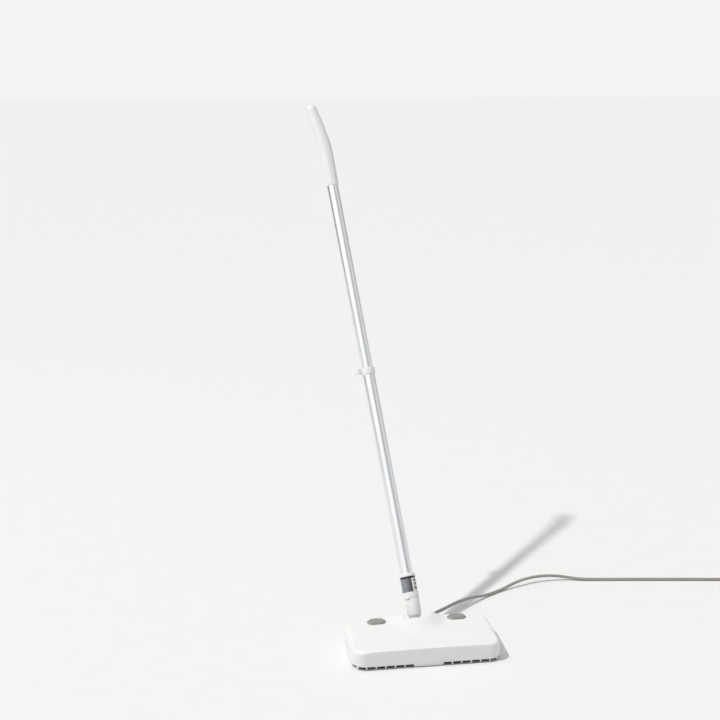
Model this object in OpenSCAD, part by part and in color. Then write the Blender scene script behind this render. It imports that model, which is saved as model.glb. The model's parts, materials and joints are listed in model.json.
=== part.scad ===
// Steam mop: a flat steam head on a mop pad, a two-way neck joint, a telescopic
// pole with a lever clip, a bent handle, and a mains lead with its plug.
// Millimetres, +Z up. The origin is on the floor under the middle of the head,
// +Y points to the rear of the head, where the neck and the lead come out.

/* [Head] */
// Width of the head, side to side
head_w = 312; // [308:1:322]
// Depth of the head, front to rear
head_d = 158; // [156:1:168]
// Height of the top of the head above the floor
head_h = 42; // [42:1:46]
// Corner radius of the head, seen from above
head_r = 27; // [22:1:30]
// Rounding of the top edge of the head
edge_r = 3; // [1:0.5:4]
// Thickness of the plastic walls
wall = 2.2; // [1.8:0.1:2.6]
// Rise of the dome round the neck above the top of the head
dome_rise = 15; // [13:0.5:16]

/* [Skirt] */
// Height of the lower edge of the skirt above the floor
skirt_z = 2.4; // [2:0.1:3]
// Height of the steam slots in the skirt
slot_h = 5.6; // [4:0.2:6]
// Distance from one skirt rib to the next
rib_pitch = 20; // [16:1:24]
// Width of a skirt rib
rib_w = 2.6; // [2:0.2:4]

/* [Foot switch and filler cap] */
// Length of each oval, side to side
oval_w = 40; // [36:1:42]
// Width of each oval, front to rear
oval_d = 24; // [22:1:24]
// Distance of each oval from the middle of the head, side to side
oval_x = 88; // [86:1:92]
// Distance of each oval from the middle of the head, front to rear
oval_y = 61; // [59:1:61]
// Travel of the foot switch
pedal_travel = 3; // [2:0.5:3]

/* [Neck] */
// Angle that the pole leans back at rest
tilt_rest = 27.3; // [0:0.1:40]
// Angle that the pole leans to the left at rest
lean_rest = 6.55; // [0:0.05:20]
// Diameter of the trunnions that the neck tilts on
trunnion_d = 8; // [6:0.5:8]
// Diameter of the pin that the neck leans on
lean_pin_d = 6; // [4:0.5:6]

/* [Pole] */
// Outside diameter of the lower tube
lower_d = 27.8; // [26:0.1:27.8]
// Wall thickness of both tubes
tube_t = 0.75; // [0.6:0.05:1]
// Height of the clip along the pole, from the neck pivot
clip_s = 572; // [480:1:600]
// Height of the lower end of the handle along the pole, from the neck pivot
handle_s = 1028; // [960:1:1060]

/* [Handle] */
// Diameter of the handle at its lower end
handle_d = 29.2; // [28.6:0.2:31]
// Diameter of the handle at its bend
grip_d = 32; // [31:0.2:34]
// Diameter of the handle near its top
tip_d = 27; // [24:0.5:29]
// Angle of the bend
bend = 9; // [4:1:20]

/* [Lead] */
// Diameter of the mains lead
lead_d = 7; // [6:0.5:8]
// Diameter of the coil of spare lead at the middle of its turns
coil_d = 86; // [84:1:96]

/* [Hidden] */
$fn = 48;
fit = 0.05;          // running clearance on a radius
gap = 0.3;           // clearance between loose neighbours
through = 1;         // how far a cutter runs past the face that it cuts

// levels of the head, from the floor up
pad_h = 5.3;
sole_z = 6.5;
floor_z = 10;
floor_t = 2;
deck_z = floor_z + floor_t;
skirt_t = 3;

// plan of the layers under the head
pad_inset = 9;
sole_inset = 5;
strip_w = 250;
strip_d = 18;
strip_y = 52;

// skirt ribs: the middle of the front stays unslotted
plain_half = 31;
slot_w = rib_pitch - rib_w;
front_slots = 5;
corner_slots = 2;
corner_arc = 90 / corner_slots;
corner_cut = 360 * slot_w / (2 * 3.1416 * head_r);
slot_depth = 8;

// neck pivot and the recess that it stands in
pivot_y = 62;
pivot_z = 30;
recess_x = 30;
recess_front = 44;
recess_corner = 8;
recess_wall = 2;
dome_half = 54;
dome_r = (dome_half * dome_half + dome_rise * dome_rise) / (2 * dome_rise);
slot_half = trunnion_d / 2 + 0.6;

// gimbal ring between the head and the neck
ring_x = 24;
ring_y = 13.5;
ring_z = 7;
ring_r = 4;
ring_window = 15;
tongue_y = 8;
tongue_r = 10;
trunnion_end = 41;
bracket_x = 33.6;
bracket_t = 8;
bracket_y = 9;

// fastenings
screw_r = 1.45;
pilot_r = 1.5;
boss_r = 4;
case_screw_xy = [[138, 61], [138, -61], [-138, 61], [-138, -61],
                 [58, 70], [-58, 70], [50, -71], [-50, -71]];
sole_screw_xy = [[140, 0], [-140, 0], [0, 8], [0, -66]];
steam_x = 88;
steam_y = -33;
steam_row_y = 30;

// parts inside the head
tank_x0 = -132;
tank_x1 = -52;
tank_y0 = -64;
tank_y1 = 57;
tank_lobe = 24;
tank_rear = oval_y + 11;
tank_top = 38;
tank_t = 1.8;
fill_outer = 9;
fill_inner = 6.5;
fill_rim = head_h - 0.2;
heater_x0 = 45;
heater_x1 = 130;
heater_y0 = -62;
heater_y1 = -4;
heater_top = 33;
pump_r = 12.2;
pump_y = -40;
pump_z = 26.5;
pump_x = 30;
hose_r = 3.2;

// foot switch and filler cap
oval_rise = 4.8;
pedal_flange = 2;
pedal_low = 34;
stem_r = 3;
stem_low = 24;
switch_top = 19.6;
plunger_top = 20.4;
hinge_r = 2.1;
hinge_y = oval_y + oval_d / 2 - hinge_r;
hinge_z = head_h + 0.3 + hinge_r;
hinge_pin_r = 0.8;
ear_x0 = 5;
ear_x1 = 8;

// pole stations, measured along the pole from the neck pivot
seam_s = 58;
seat_s = 62;
label_s0 = 69;
label_s1 = 104;
collar_s1 = 111;
upper_low = 486;
tube_in_handle = 1088;
lower_r = lower_d / 2;
lower_bore = lower_r - tube_t;
upper_r = lower_bore - fit;
upper_bore = upper_r - tube_t;
spigot_r = 13.9;
socket_r = 14;
collar_r = 16.9;
bush_h = 6;

// release button, on the front left of the collar
button_turn = 230;
button_w = 11;
button_z0 = 54.5;
button_z1 = 66;
button_out = 17.4;
button_in = 16;
catch_in = 12.5;
button_travel = 2;

// clip with its lever
clip_r = 15.9;
clip_h = 16;
clip_top = clip_s + clip_h / 2;
clip_low = clip_s - clip_h / 2;
lever_x = -19.2;
lever_z = clip_s + 3.3;
lever_pin_r = 1.5;
lever_boss = 3.2;
lever_half = 4.9;
ear_in = 5.2;
ear_out = 8;

// handle: a straight lower part and a straight upper part that meet at a bend
bend_s = 1127;
bend_bulge = 0.3;
top_len = 113;
handle_wall = 2.2;
handle_screw_s = [handle_s + 17, handle_s + 47];
screw_seat_y = handle_d / 2 - 0.8;
seam_turn = 45;

// lead: where it leaves the head, its route over the floor and its coil
exit_x = 44;
exit_z = 22;
relief_len = 28;
lead_r = lead_d / 2;
coil_x = 870;
coil_y = 250 - coil_d / 2 - 2 * lead_d;
coil_in = coil_d / 2 - 2.5 * lead_d;
coil_out = coil_d / 2 + 2.5 * lead_d;
coil_h = 4 * lead_d;
tie_t = 0.8;
tie_angle = 16;
tie_turn = 180;
route = [
    [44, 106.6, 22], [44.7, 112, 22.2], [46.5, 117.5, 22.3], [51, 125, 22.3],
    [59, 134, 22.2], [70, 143, 22], [81.4, 153, 21.6], [93, 164, 20.9],
    [105, 175, 20.3], [116, 184.6, 19.8], [127, 193.5, 19.2], [138, 202, 18.2],
    [150, 211.5, 16.2], [161.5, 221, 13.5], [173, 229.5, 10.8], [184.3, 237.6, 8.2],
    [195.7, 245, 6.1], [207, 252.6, 4.8], [218.6, 260.3, 4], [230, 268, 3.7],
    [241.6, 275, 4.1], [252.7, 280.8, 5.5], [261, 285, 7.2], [269.4, 289, 9],
    [286, 296.8, 12], [302.5, 303.8, 13.6], [319, 310, 14.1], [335, 315, 14.2],
    [351, 318, 14], [366, 319.2, 13.5], [381, 319.6, 12.4], [396, 319.6, 10.5],
    [411, 318.2, 8.2], [425, 315.4, 6.1], [439, 312, 4.6], [453, 308.6, 3.9],
    [467, 305.8, 3.6], [496, 301.2, 3.5], [553, 293, 3.5], [610, 284, 3.5],
    [667, 275, 3.5], [724, 266, 3.5], [779, 257, 3.5], [805, 253, 3.5],
    [830, 250.5, 3.5], [850, 250, 3.5], [870, 250, 3.5]
];
tail = [
    [923.5, 193, 24.5], [923.5, 179, 24.5], [923.5, 168, 23.3], [923.5, 158, 20.8],
    [923.5, 149, 18.6], [923.5, 142, 18]
];
tube_sides = 10;

// plug
plug_x = 923.5;
plug_y = 142;
plug_z = 18;
plug_len = 38;
plug_r = 17.5;
pin_r = 2.4;
pin_len = 19;
pin_gap = 19;

// ---- helpers ----

// rectangle with round corners, centred
module round_rect(w, d, r) {
    flat = [w - 2 * r, d - 2 * r];
    square([w, flat[1]], center = true);
    square([flat[0], d], center = true);
    for (x = [-1, 1], y = [-1, 1])
        translate([x * flat[0] / 2, y * flat[1] / 2])
            circle(r);
}

// outline of the head, drawn in by a distance
module head_plan(inset = 0) {
    round_rect(head_w - 2 * inset, head_d - 2 * inset, head_r - inset);
}

// oval with straight long sides, grown by a distance
module oval(grow = 0) {
    square([oval_w - oval_d, oval_d + 2 * grow], center = true);
    for (x = [-1, 1])
        translate([x * (oval_w - oval_d) / 2, 0])
            circle(oval_d / 2 + grow);
}

// plan of the recess round the neck, open to the rear, grown by a distance
module recess_plan(grow = 0) {
    half = recess_x + grow;
    corner = recess_corner + grow;
    front = recess_front - grow;
    translate([-half, front + corner])
        square([2 * half, head_d]);
    translate([corner - half, front])
        square([2 * (half - corner), head_d]);
    for (x = [-1, 1])
        translate([x * (half - corner), front + corner])
            circle(corner);
}

// frame of the gimbal ring: +Z along the pole when it doesn't lean sideways
module in_ring() {
    translate([0, pivot_y, pivot_z])
        rotate([-tilt_rest, 0, 0])
            children();
}

// frame of the pole: +Z along the pole, origin at the neck pivot
module in_pole() {
    in_ring()
        rotate([0, -lean_rest, 0])
            children();
}

// frame at the handle's bend: +Z along its upper part
module at_bend() {
    translate([0, 0, bend_s])
        rotate([0, -bend, 0])
            children();
}

// bar along Y, centred
module y_bar(r, len) {
    rotate([90, 0, 0])
        cylinder(r = r, h = len, center = true);
}

// bar along X, from one place to another
module x_bar(r, from, to) {
    translate([from, 0, 0])
        rotate([0, 90, 0])
            cylinder(r = r, h = to - from);
}

// round tube along Z
module pipe(outer, inner, from, to) {
    translate([0, 0, from])
        difference() {
            cylinder(r = outer, h = to - from);
            translate([0, 0, -through])
                cylinder(r = inner, h = to - from + 2 * through);
        }
}

// screw that points up: its head's underside lies at z = 0
module screw(head_r, head_h, len) {
    translate([0, 0, -head_h])
        cylinder(r = head_r, h = head_h);
    cylinder(r = screw_r, h = len);
}

function unit(v) = v / norm(v);

// point on a Catmull-Rom curve through p, at place i + t
function clamped(p, i) = p[max(0, min(len(p) - 1, i))];
function on_curve(p, i, t) =
    let (a = clamped(p, i - 1), b = clamped(p, i), c = clamped(p, i + 1), d = clamped(p, i + 2))
    0.5 * (2 * b + (c - a) * t + (2 * a - 5 * b + 4 * c - d) * t * t
        + (3 * b - a - 3 * c + d) * t * t * t);
function smooth(p, steps) = [
    for (i = [0 : len(p) - 2], k = [0 : steps - 1]) on_curve(p, i, k / steps),
    p[len(p) - 1]
];

// ring of points round one place of a path that runs mostly level
function along(p, i) = unit(clamped(p, i + 1) - clamped(p, i - 1));
function ring(p, i, r, sides) =
    let (t = along(p, i), side = unit(cross([0, 0, 1], t)), up = cross(t, side))
    [for (k = [0 : sides - 1]) p[i] + r * (cos(360 * k / sides) * side + sin(360 * k / sides) * up)];

// closed tube swept along a path
module swept(p, r, sides) {
    n = len(p);
    points = [for (i = [0 : n - 1]) each ring(p, i, r, sides)];
    sleeve = [for (i = [0 : n - 2], k = [0 : sides - 1])
        let (a = i * sides + k, b = i * sides + (k + 1) % sides)
        [a, a + sides, b + sides, b]];
    first = [[for (k = [0 : sides - 1]) k]];
    last = [[for (k = [sides - 1 : -1 : 0]) (n - 1) * sides + k]];
    polyhedron(points, concat(sleeve, first, last), convexity = 6);
}

// coil spring along Z: wire swept round a helix with a constant frame
module spring(r, wire, len, turns) {
    sides = 8;
    per_turn = 14;
    n = turns * per_turn;
    points = [for (i = [0 : n])
        let (a = 360 * i / per_turn, z = wire + (len - 2 * wire) * i / n)
        for (k = [0 : sides - 1])
            let (q = 360 * k / sides, rr = r + wire * cos(q))
            [rr * cos(a), rr * sin(a), z + wire * sin(q)]];
    sleeve = [for (i = [0 : n - 1], k = [0 : sides - 1])
        let (a = i * sides + k, b = i * sides + (k + 1) % sides)
        [a, b, b + sides, a + sides]];
    first = [[for (k = [sides - 1 : -1 : 0]) k]];
    last = [[for (k = [0 : sides - 1]) n * sides + k]];
    polyhedron(points, concat(sleeve, first, last), convexity = 6);
}

// ---- head ----

module shell_block() {
    hull()
        for (x = [-1, 1], y = [-1, 1])
            translate([x * (head_w / 2 - head_r), y * (head_d / 2 - head_r), 0]) {
                translate([0, 0, deck_z])
                    cylinder(r = head_r, h = 1, $fn = 32);
                translate([0, 0, head_h - edge_r])
                    rotate_extrude($fn = 32)
                        intersection() {
                            translate([head_r - edge_r, 0])
                                circle(edge_r, $fn = 24);
                            square([head_r, edge_r]);
                        }
            }
}

// dome round the neck, or the hollow in it when drawn in by a distance
module dome(inset = 0) {
    intersection() {
        translate([0, pivot_y, head_h + dome_rise - dome_r])
            sphere(dome_r - inset);
        translate([0, 0, head_h - wall - inset / 2])
            linear_extrude(dome_rise + 2 * wall)
                intersection() {
                    head_plan(0.5 + inset);
                    translate([0, pivot_y])
                        circle(dome_half - 4 * inset);
                }
    }
}

module hinge_ears() {
    translate([-oval_x, hinge_y, hinge_z])
        for (side = [-1, 1])
            translate([side * (ear_x0 + ear_x1) / 2, 0, 0])
                difference() {
                    union() {
                        x_bar(hinge_r, -1.5, 1.5);
                        translate([-1.5, -hinge_r, -hinge_r - 1])
                            cube([3, 2 * hinge_r, hinge_r + 1]);
                    }
                    x_bar(hinge_pin_r, -3, 3);
                }
}

module top_shell() {
    color("#f4f4f3") {
        difference() {
            union() {
                shell_block();
                dome();
            }
            difference() {
                union() {
                    translate([0, 0, deck_z - through])
                        linear_extrude(head_h - wall - deck_z + through)
                            head_plan(wall);
                    dome(wall);
                }
                translate([0, 0, deck_z - 2 * through])
                    linear_extrude(2 * head_h)
                        recess_plan(recess_wall);
                for (p = case_screw_xy)
                    translate([p[0], p[1], 0])
                        cylinder(r = boss_r, h = head_h);
            }
            translate([0, 0, -through])
                linear_extrude(2 * head_h)
                    recess_plan();
            translate([-recess_x - 2 * recess_wall, pivot_y - slot_half, 0])
                cube([2 * (recess_x + 2 * recess_wall), 2 * slot_half, pivot_z + slot_half]);
            for (p = case_screw_xy)
                translate([p[0], p[1], 0])
                    cylinder(r = pilot_r, h = 28);
            translate([oval_x, oval_y, 0])
                linear_extrude(2 * head_h)
                    oval(0.5);
            translate([-oval_x, oval_y, 0])
                cylinder(r = fill_outer + 0.5, h = 2 * head_h);
            translate([exit_x, head_d / 2, exit_z])
                y_bar(6.6, 20);
        }
        hinge_ears();
    }
}

// slots in the front, rear and corners of the skirt, open at the bottom
module skirt_slots() {
    slot = [slot_w, slot_depth, slot_h + through];
    for (side = [-1, 1], face = [-1, 1], i = [0 : front_slots - 1])
        translate([side * (plain_half + (i + 0.5) * rib_pitch - rib_w / 2) - slot_w / 2,
                   face * head_d / 2 - slot_depth / 2, skirt_z - through])
            cube(slot);
    for (corner = [0 : 3], i = [0 : corner_slots - 1])
        translate([(corner == 0 || corner == 3 ? 1 : -1) * (head_w / 2 - head_r),
                   (corner < 2 ? 1 : -1) * (head_d / 2 - head_r), skirt_z - through])
            rotate([0, 0, 90 * corner + (i + 0.5) * corner_arc - corner_cut / 2])
                rotate_extrude(angle = corner_cut)
                    translate([head_r - slot_depth / 2, 0])
                        square([slot_depth, slot_h + through]);
}

module chassis() {
    color("#efefee")
        difference() {
            union() {
                translate([0, 0, skirt_z])
                    linear_extrude(deck_z - skirt_z)
                        head_plan();
                translate([0, 0, deck_z])
                    linear_extrude(3)
                        difference() {
                            head_plan(wall + 0.15);
                            head_plan(wall + 2);
                            translate([-2 * recess_x, head_d / 2 - 20])
                                square([4 * recess_x, 40]);
                            for (p = case_screw_xy)
                                translate(p)
                                    circle(boss_r + 0.5);
                        }
                for (p = sole_screw_xy)
                    translate([p[0], p[1], deck_z])
                        cylinder(r = 3.4, h = 7);
            }
            translate([0, 0, skirt_z - through])
                linear_extrude(floor_z - skirt_z + through)
                    head_plan(skirt_t);
            skirt_slots();
            for (p = case_screw_xy)
                translate([p[0], p[1], 0])
                    cylinder(r = 1.7, h = 20);
            for (p = sole_screw_xy)
                translate([p[0], p[1], 0])
                    cylinder(r = pilot_r, h = deck_z + 6.5);
            translate([steam_x, steam_y, 0])
                cylinder(r = 4.1, h = 20);
        }
}

module sole_plate() {
    color("#4b4c4f")
        difference() {
            translate([0, 0, sole_z])
                linear_extrude(floor_z - sole_z)
                    head_plan(sole_inset);
            for (y = [-1, 1])
                translate([-122, y * steam_row_y - 2.5, floor_z - 1.2])
                    cube([244, 5, 3]);
            translate([steam_x - 2.5, -steam_row_y, floor_z - 1.2])
                cube([5, 2 * steam_row_y, 3]);
            translate([steam_x, steam_y, floor_z - 1.2])
                cylinder(r = 4.2, h = 3);
            for (x = [-120 : 30 : 120], y = [-1, 1])
                translate([x, y * steam_row_y, 0])
                    cylinder(r = 1.5, h = 20);
            for (p = case_screw_xy)
                translate([p[0], p[1], 0])
                    cylinder(r = 3.6, h = 20);
            for (p = sole_screw_xy)
                translate([p[0], p[1], 0]) {
                    cylinder(r = 1.7, h = 20);
                    cylinder(r = 3.2, h = sole_z + 1.7);
                }
        }
}

module hook_strips() {
    color("#2e2f31")
        for (y = [-strip_y, 0, strip_y])
            translate([-strip_w / 2, y - strip_d / 2, pad_h])
                cube([strip_w, strip_d, sole_z - pad_h]);
}

module mop_pad() {
    color("#55575a")
        linear_extrude(pad_h)
            head_plan(pad_inset);
}

module case_screws() {
    color("#b8babc")
        for (p = case_screw_xy)
            translate([p[0], p[1], floor_z])
                screw(2.8, 1.8, 14);
}

module sole_screws() {
    color("#b8babc")
        for (p = sole_screw_xy)
            translate([p[0], p[1], sole_z + 1.6])
                screw(2.8, 1.5, 10);
}

module tank_plan(inset) {
    translate([tank_x0 + inset, tank_y0 + inset])
        square([tank_x1 - tank_x0 - 2 * inset, tank_y1 - tank_y0 - 2 * inset]);
    translate([-oval_x - tank_lobe + inset, 0])
        square([2 * (tank_lobe - inset), tank_rear - inset]);
}

module water_tank() {
    color("#cfd8dc")
        difference() {
            union() {
                translate([0, 0, deck_z])
                    linear_extrude(tank_top - deck_z)
                        tank_plan(0);
                translate([-oval_x, oval_y, tank_top - tank_t])
                    cylinder(r = fill_outer, h = fill_rim - tank_top + tank_t);
            }
            translate([0, 0, deck_z + tank_t])
                linear_extrude(tank_top - deck_z - 2 * tank_t)
                    tank_plan(tank_t);
            translate([-oval_x, oval_y, tank_top - 2 * tank_t])
                cylinder(r = fill_inner, h = 20);
            translate([0, pump_y, pump_z])
                x_bar(2, tank_x1 - 5, tank_x1 + 5);
        }
}

module pump() {
    color("#3c3f42")
        translate([0, pump_y, pump_z]) {
            x_bar(pump_r, -pump_x, pump_x);
            x_bar(1.95, -pump_x - 5, pump_x + 5);
            translate([-20, -10, deck_z - pump_z])
                cube([40, 20, pump_z - deck_z - 5]);
        }
}

module hose(from, to) {
    translate([0, pump_y, pump_z])
        difference() {
            x_bar(hose_r, from, to);
            x_bar(2, from - through, to + through);
        }
}

module suction_hose() {
    color("#d9d9d6")
        hose(tank_x1, -pump_x);
}

module feed_hose() {
    color("#d9d9d6")
        hose(pump_x, heater_x0);
}

module heater_block() {
    color("#a9abad")
        difference() {
            translate([heater_x0, heater_y0, deck_z])
                cube([heater_x1 - heater_x0, heater_y1 - heater_y0, heater_top - deck_z]);
            for (i = [0 : 5])
                translate([heater_x0 + 8 + i * 12, heater_y0 - through, heater_top - 6])
                    cube([5, 14, 10]);
            translate([steam_x, steam_y, 0])
                cylinder(r = 2.5, h = 24);
        }
}

module thermostat() {
    color("#d8d2c4")
        translate([112, -33, heater_top]) {
            cylinder(r = 8, h = 3.4);
            for (y = [-4, 4])
                translate([-0.4, y - 2, 3])
                    cube([0.8, 4, 3]);
        }
}

module steam_nozzle() {
    color("#8d8f92")
        translate([steam_x, steam_y, 0])
            pipe(4, 2.5, floor_z - 1.1, deck_z);
}

module control_board() {
    color("#2f6b46")
        translate([52, 6, deck_z]) {
            difference() {
                translate([0, 0, 5])
                    cube([74, 30, 1.6]);
                for (x = [4, 70], y = [4, 26])
                    translate([x, y, 0])
                        cylinder(r = pilot_r, h = 20);
            }
            for (x = [4, 70], y = [4, 26])
                translate([x, y, 0])
                    pipe(3, pilot_r, 0, 5);
            translate([12, 8, 6.6])
                cube([19, 15, 14]);
            translate([46, 15, 6.6])
                cylinder(r = 6, h = 15);
        }
}

module micro_switch() {
    color("#26282a")
        translate([oval_x, oval_y, 0]) {
            translate([-14, -7, deck_z])
                cube([28, 14, switch_top - deck_z]);
            translate([0, 0, switch_top - 1])
                cylinder(r = 2, h = plunger_top - switch_top + 1);
        }
}

module joint_brackets() {
    color("#dededc")
        for (side = [-1, 1])
            mirror([side < 0 ? 1 : 0, 0, 0])
                difference() {
                    union() {
                        translate([bracket_x, pivot_y - bracket_y, deck_z])
                            cube([bracket_t, 2 * bracket_y, pivot_z - deck_z]);
                        translate([0, pivot_y, pivot_z])
                            x_bar(bracket_y, bracket_x, bracket_x + bracket_t);
                        translate([bracket_x, pivot_y - bracket_y, deck_z])
                            cube([16, 2 * bracket_y, 3]);
                    }
                    translate([0, pivot_y, pivot_z])
                        x_bar(trunnion_d / 2 + fit, bracket_x - 2, bracket_x + bracket_t + 2);
                    translate([46, pivot_y, 0])
                        cylinder(r = pilot_r, h = 40);
                }
}

module bracket_screws() {
    color("#b8babc")
        for (x = [-46, 46])
            translate([x, pivot_y, deck_z + 3])
                mirror([0, 0, 1])
                    screw(2.8, 1.6, 3);
}

// ---- foot switch ----

module pedal_cap() {
    color("#9c9a98")
        translate([oval_x, oval_y, 0]) {
            translate([0, 0, pedal_low + pedal_flange])
                linear_extrude(head_h + oval_rise - pedal_low - pedal_flange - 1.2)
                    oval();
            translate([0, 0, head_h + oval_rise - 1.2])
                linear_extrude(1.2)
                    oval(-1.2);
            translate([0, 0, pedal_low])
                linear_extrude(pedal_flange)
                    oval(1.6);
            translate([0, 0, stem_low])
                cylinder(r = stem_r, h = pedal_low - stem_low);
        }
}

module pedal_spring() {
    color("#c0c2c4")
        translate([oval_x, oval_y, switch_top])
            spring(5, 0.5, pedal_low - switch_top, 5);
}

// ---- filler cap ----

module cap_outline() {
    difference() {
        oval();
        translate([-oval_w, hinge_y - oval_y])
            square([2 * oval_w, oval_d]);
    }
}

module filler_cap() {
    cap_low = head_h + 0.3;
    color("#9c9a98")
        translate([-oval_x, 0, 0])
            difference() {
                union() {
                    translate([0, oval_y, cap_low])
                        linear_extrude(oval_rise - 1.5)
                            cap_outline();
                    translate([0, oval_y, cap_low + oval_rise - 1.5])
                        linear_extrude(1.2)
                            offset_cap();
                    translate([0, hinge_y, hinge_z])
                        x_bar(hinge_r, -11, 11);
                }
                for (side = [-1, 1])
                    translate([side * (ear_x0 + ear_x1) / 2 - 1.8, hinge_y - hinge_r - 0.4, head_h - 1])
                        cube([3.6, 10, 10]);
                translate([0, hinge_y, hinge_z])
                    x_bar(hinge_pin_r + fit, -8, 8);
                translate([0, oval_y, cap_low - through])
                    cylinder(r = fill_outer - 0.2, h = 1 + through);
            }
}

// the top layer of the cap, a little smaller, to leave a stepped edge
module offset_cap() {
    intersection() {
        oval(-1.2);
        cap_outline();
    }
}

module cap_gasket() {
    color("#6c6e70")
        translate([-oval_x, oval_y, 0])
            pipe(fill_outer - 0.3, fill_inner - 1, head_h + 0.15, head_h + 1.2);
}

module cap_hinge_pin() {
    color("#c0c2c4")
        translate([-oval_x, hinge_y, hinge_z])
            x_bar(hinge_pin_r, -ear_x1, ear_x1);
}

// ---- neck joint ----

module tilt_yoke() {
    color("#d7d7d5")
        in_ring()
            difference() {
                union() {
                    translate([0, 0, -ring_z])
                        linear_extrude(2 * ring_z)
                            round_rect(2 * ring_x, 2 * ring_y, ring_r);
                    x_bar(trunnion_d / 2, -trunnion_end, trunnion_end);
                }
                translate([-ring_window, -tongue_y - gap, -2 * ring_z])
                    cube([2 * ring_window, 2 * (tongue_y + gap), 4 * ring_z]);
                y_bar(lean_pin_d / 2, 4 * ring_y);
            }
}

module lean_pin() {
    color("#c0c2c4")
        in_ring()
            y_bar(lean_pin_d / 2, 2 * ring_y);
}

// frame with +X pointing out through the release button
module at_button() {
    rotate([0, 0, button_turn])
        children();
}

module neck_socket() {
    color("#f2f2f1")
        in_pole()
            difference() {
                union() {
                    y_bar(tongue_r, 2 * tongue_y);
                    translate([-tongue_r, -tongue_y, 0])
                        cube([2 * tongue_r, 2 * tongue_y, 16]);
                    rotate_extrude()
                        polygon([[0, 13], [10.5, 13], [14.8, 21], [15.4, 30], [16.6, seam_s - 0.2],
                                 [socket_r, seam_s - 0.2], [socket_r, 30], [0, 30]]);
                }
                y_bar(lean_pin_d / 2 + fit, 4 * tongue_y);
                at_button()
                    translate([10, -button_w / 2 - 0.3, button_z0 - 0.3])
                        cube([10, button_w + 0.6, 10]);
            }
}

module pole_collar() {
    color("#f4f4f3")
        in_pole()
            difference() {
                union() {
                    rotate_extrude()
                        polygon([[11.5, 31], [spigot_r, 31], [spigot_r, seam_s], [collar_r, seam_s],
                                 [collar_r, label_s0], [16.3, label_s0], [16.3, label_s1],
                                 [collar_r, label_s1], [17.2, label_s1 + 0.8], [17.2, collar_s1 - 1.5],
                                 [16.2, collar_s1], [lower_r + fit, collar_s1], [lower_r + fit, seat_s],
                                 [11.5, seat_s]]);
                    at_button()
                        translate([-1.5, -11.7, 50])
                            cube([3, 23.4, seat_s - 50]);
                }
                at_button()
                    translate([9, -button_w / 2 - 0.3, button_z0 - 0.4])
                        cube([12, button_w + 0.6, button_z1 - button_z0 + 0.8]);
            }
}

module label_band() {
    color("#3a3d42")
        in_pole()
            pipe(16.75, 16.35, label_s0 + 0.1, label_s1 - 0.1);
}

module release_button() {
    color("#f4f4f3")
        in_pole()
            at_button() {
                intersection() {
                    pipe(button_out, button_in, button_z0, button_z1);
                    translate([0, -button_w / 2, 0])
                        cube([30, button_w, 100]);
                }
                translate([catch_in, -4.5, button_z0 + 0.5])
                    cube([button_in - catch_in + 0.2, 9, 6]);
            }
}

module button_spring() {
    color("#c0c2c4")
        in_pole()
            at_button()
                translate([1.5, 0, button_z0 + 3.5])
                    rotate([0, 90, 0])
                        spring(2.2, 0.35, catch_in - 1.5, 5);
}

// ---- pole ----

module lower_tube() {
    color("#b9bbbd")
        in_pole()
            pipe(lower_r, lower_bore, seat_s, clip_s - gap);
}

module lever_cut() {
    translate([lever_x, 0, lever_z])
        y_bar(lever_boss + 0.4, 2 * ear_in);
}

module clip_collar() {
    color("#f4f4f3")
        in_pole()
            difference() {
                union() {
                    rotate_extrude()
                        polygon([[lower_r + fit, clip_low], [clip_r - 0.6, clip_low],
                                 [clip_r, clip_low + 0.8], [clip_r, clip_top - 0.8],
                                 [clip_r - 0.6, clip_top], [upper_r + fit, clip_top],
                                 [upper_r + fit, clip_s], [lower_r + fit, clip_s]]);
                    for (side = [-1, 1])
                        translate([-22.4, side > 0 ? ear_in : -ear_out, lever_z - 4.4])
                            cube([10, ear_out - ear_in, 8.8]);
                }
                translate([0, 0, clip_low - through])
                    cylinder(r = upper_r + fit, h = clip_h + 2 * through);
                translate([0, 0, clip_low - through])
                    cylinder(r = lower_r + fit, h = clip_h / 2 + through);
                lever_cut();
                translate([lever_x, 0, lever_z])
                    y_bar(lever_pin_r, 40);
            }
}

module lever_pin() {
    color("#c0c2c4")
        in_pole()
            translate([lever_x, 0, lever_z])
                y_bar(lever_pin_r, 2 * ear_out);
}

module clip_lever() {
    color("#f4f4f3")
        in_pole()
            difference() {
                translate([0, lever_half, 0])
                    rotate([90, 0, 0])
                        linear_extrude(2 * lever_half)
                            union() {
                                translate([lever_x, lever_z])
                                    circle(lever_boss);
                                translate([0, clip_s])
                                    polygon([[lever_x, 6.4], [-24.8, 5], [-28.2, 1], [-29, -3.6],
                                             [-27.4, -3.8], [-24.9, -0.4], [lever_x, 0.2]]);
                            }
                translate([lever_x, 0, lever_z])
                    y_bar(lever_pin_r + fit, 40);
            }
}

module upper_tube() {
    color("#b9bbbd")
        in_pole()
            difference() {
                pipe(upper_r, upper_bore, upper_low, tube_in_handle);
                for (s = handle_screw_s)
                    translate([0, upper_r, s])
                        y_bar(1.6, 8);
            }
}

module slide_bush() {
    color("#2e3033")
        in_pole() {
            pipe(upper_r, upper_bore - 2, upper_low - bush_h, upper_low);
            pipe(upper_bore, upper_bore - 2, upper_low - through, upper_low + 10);
        }
}

// ---- handle ----

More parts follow.
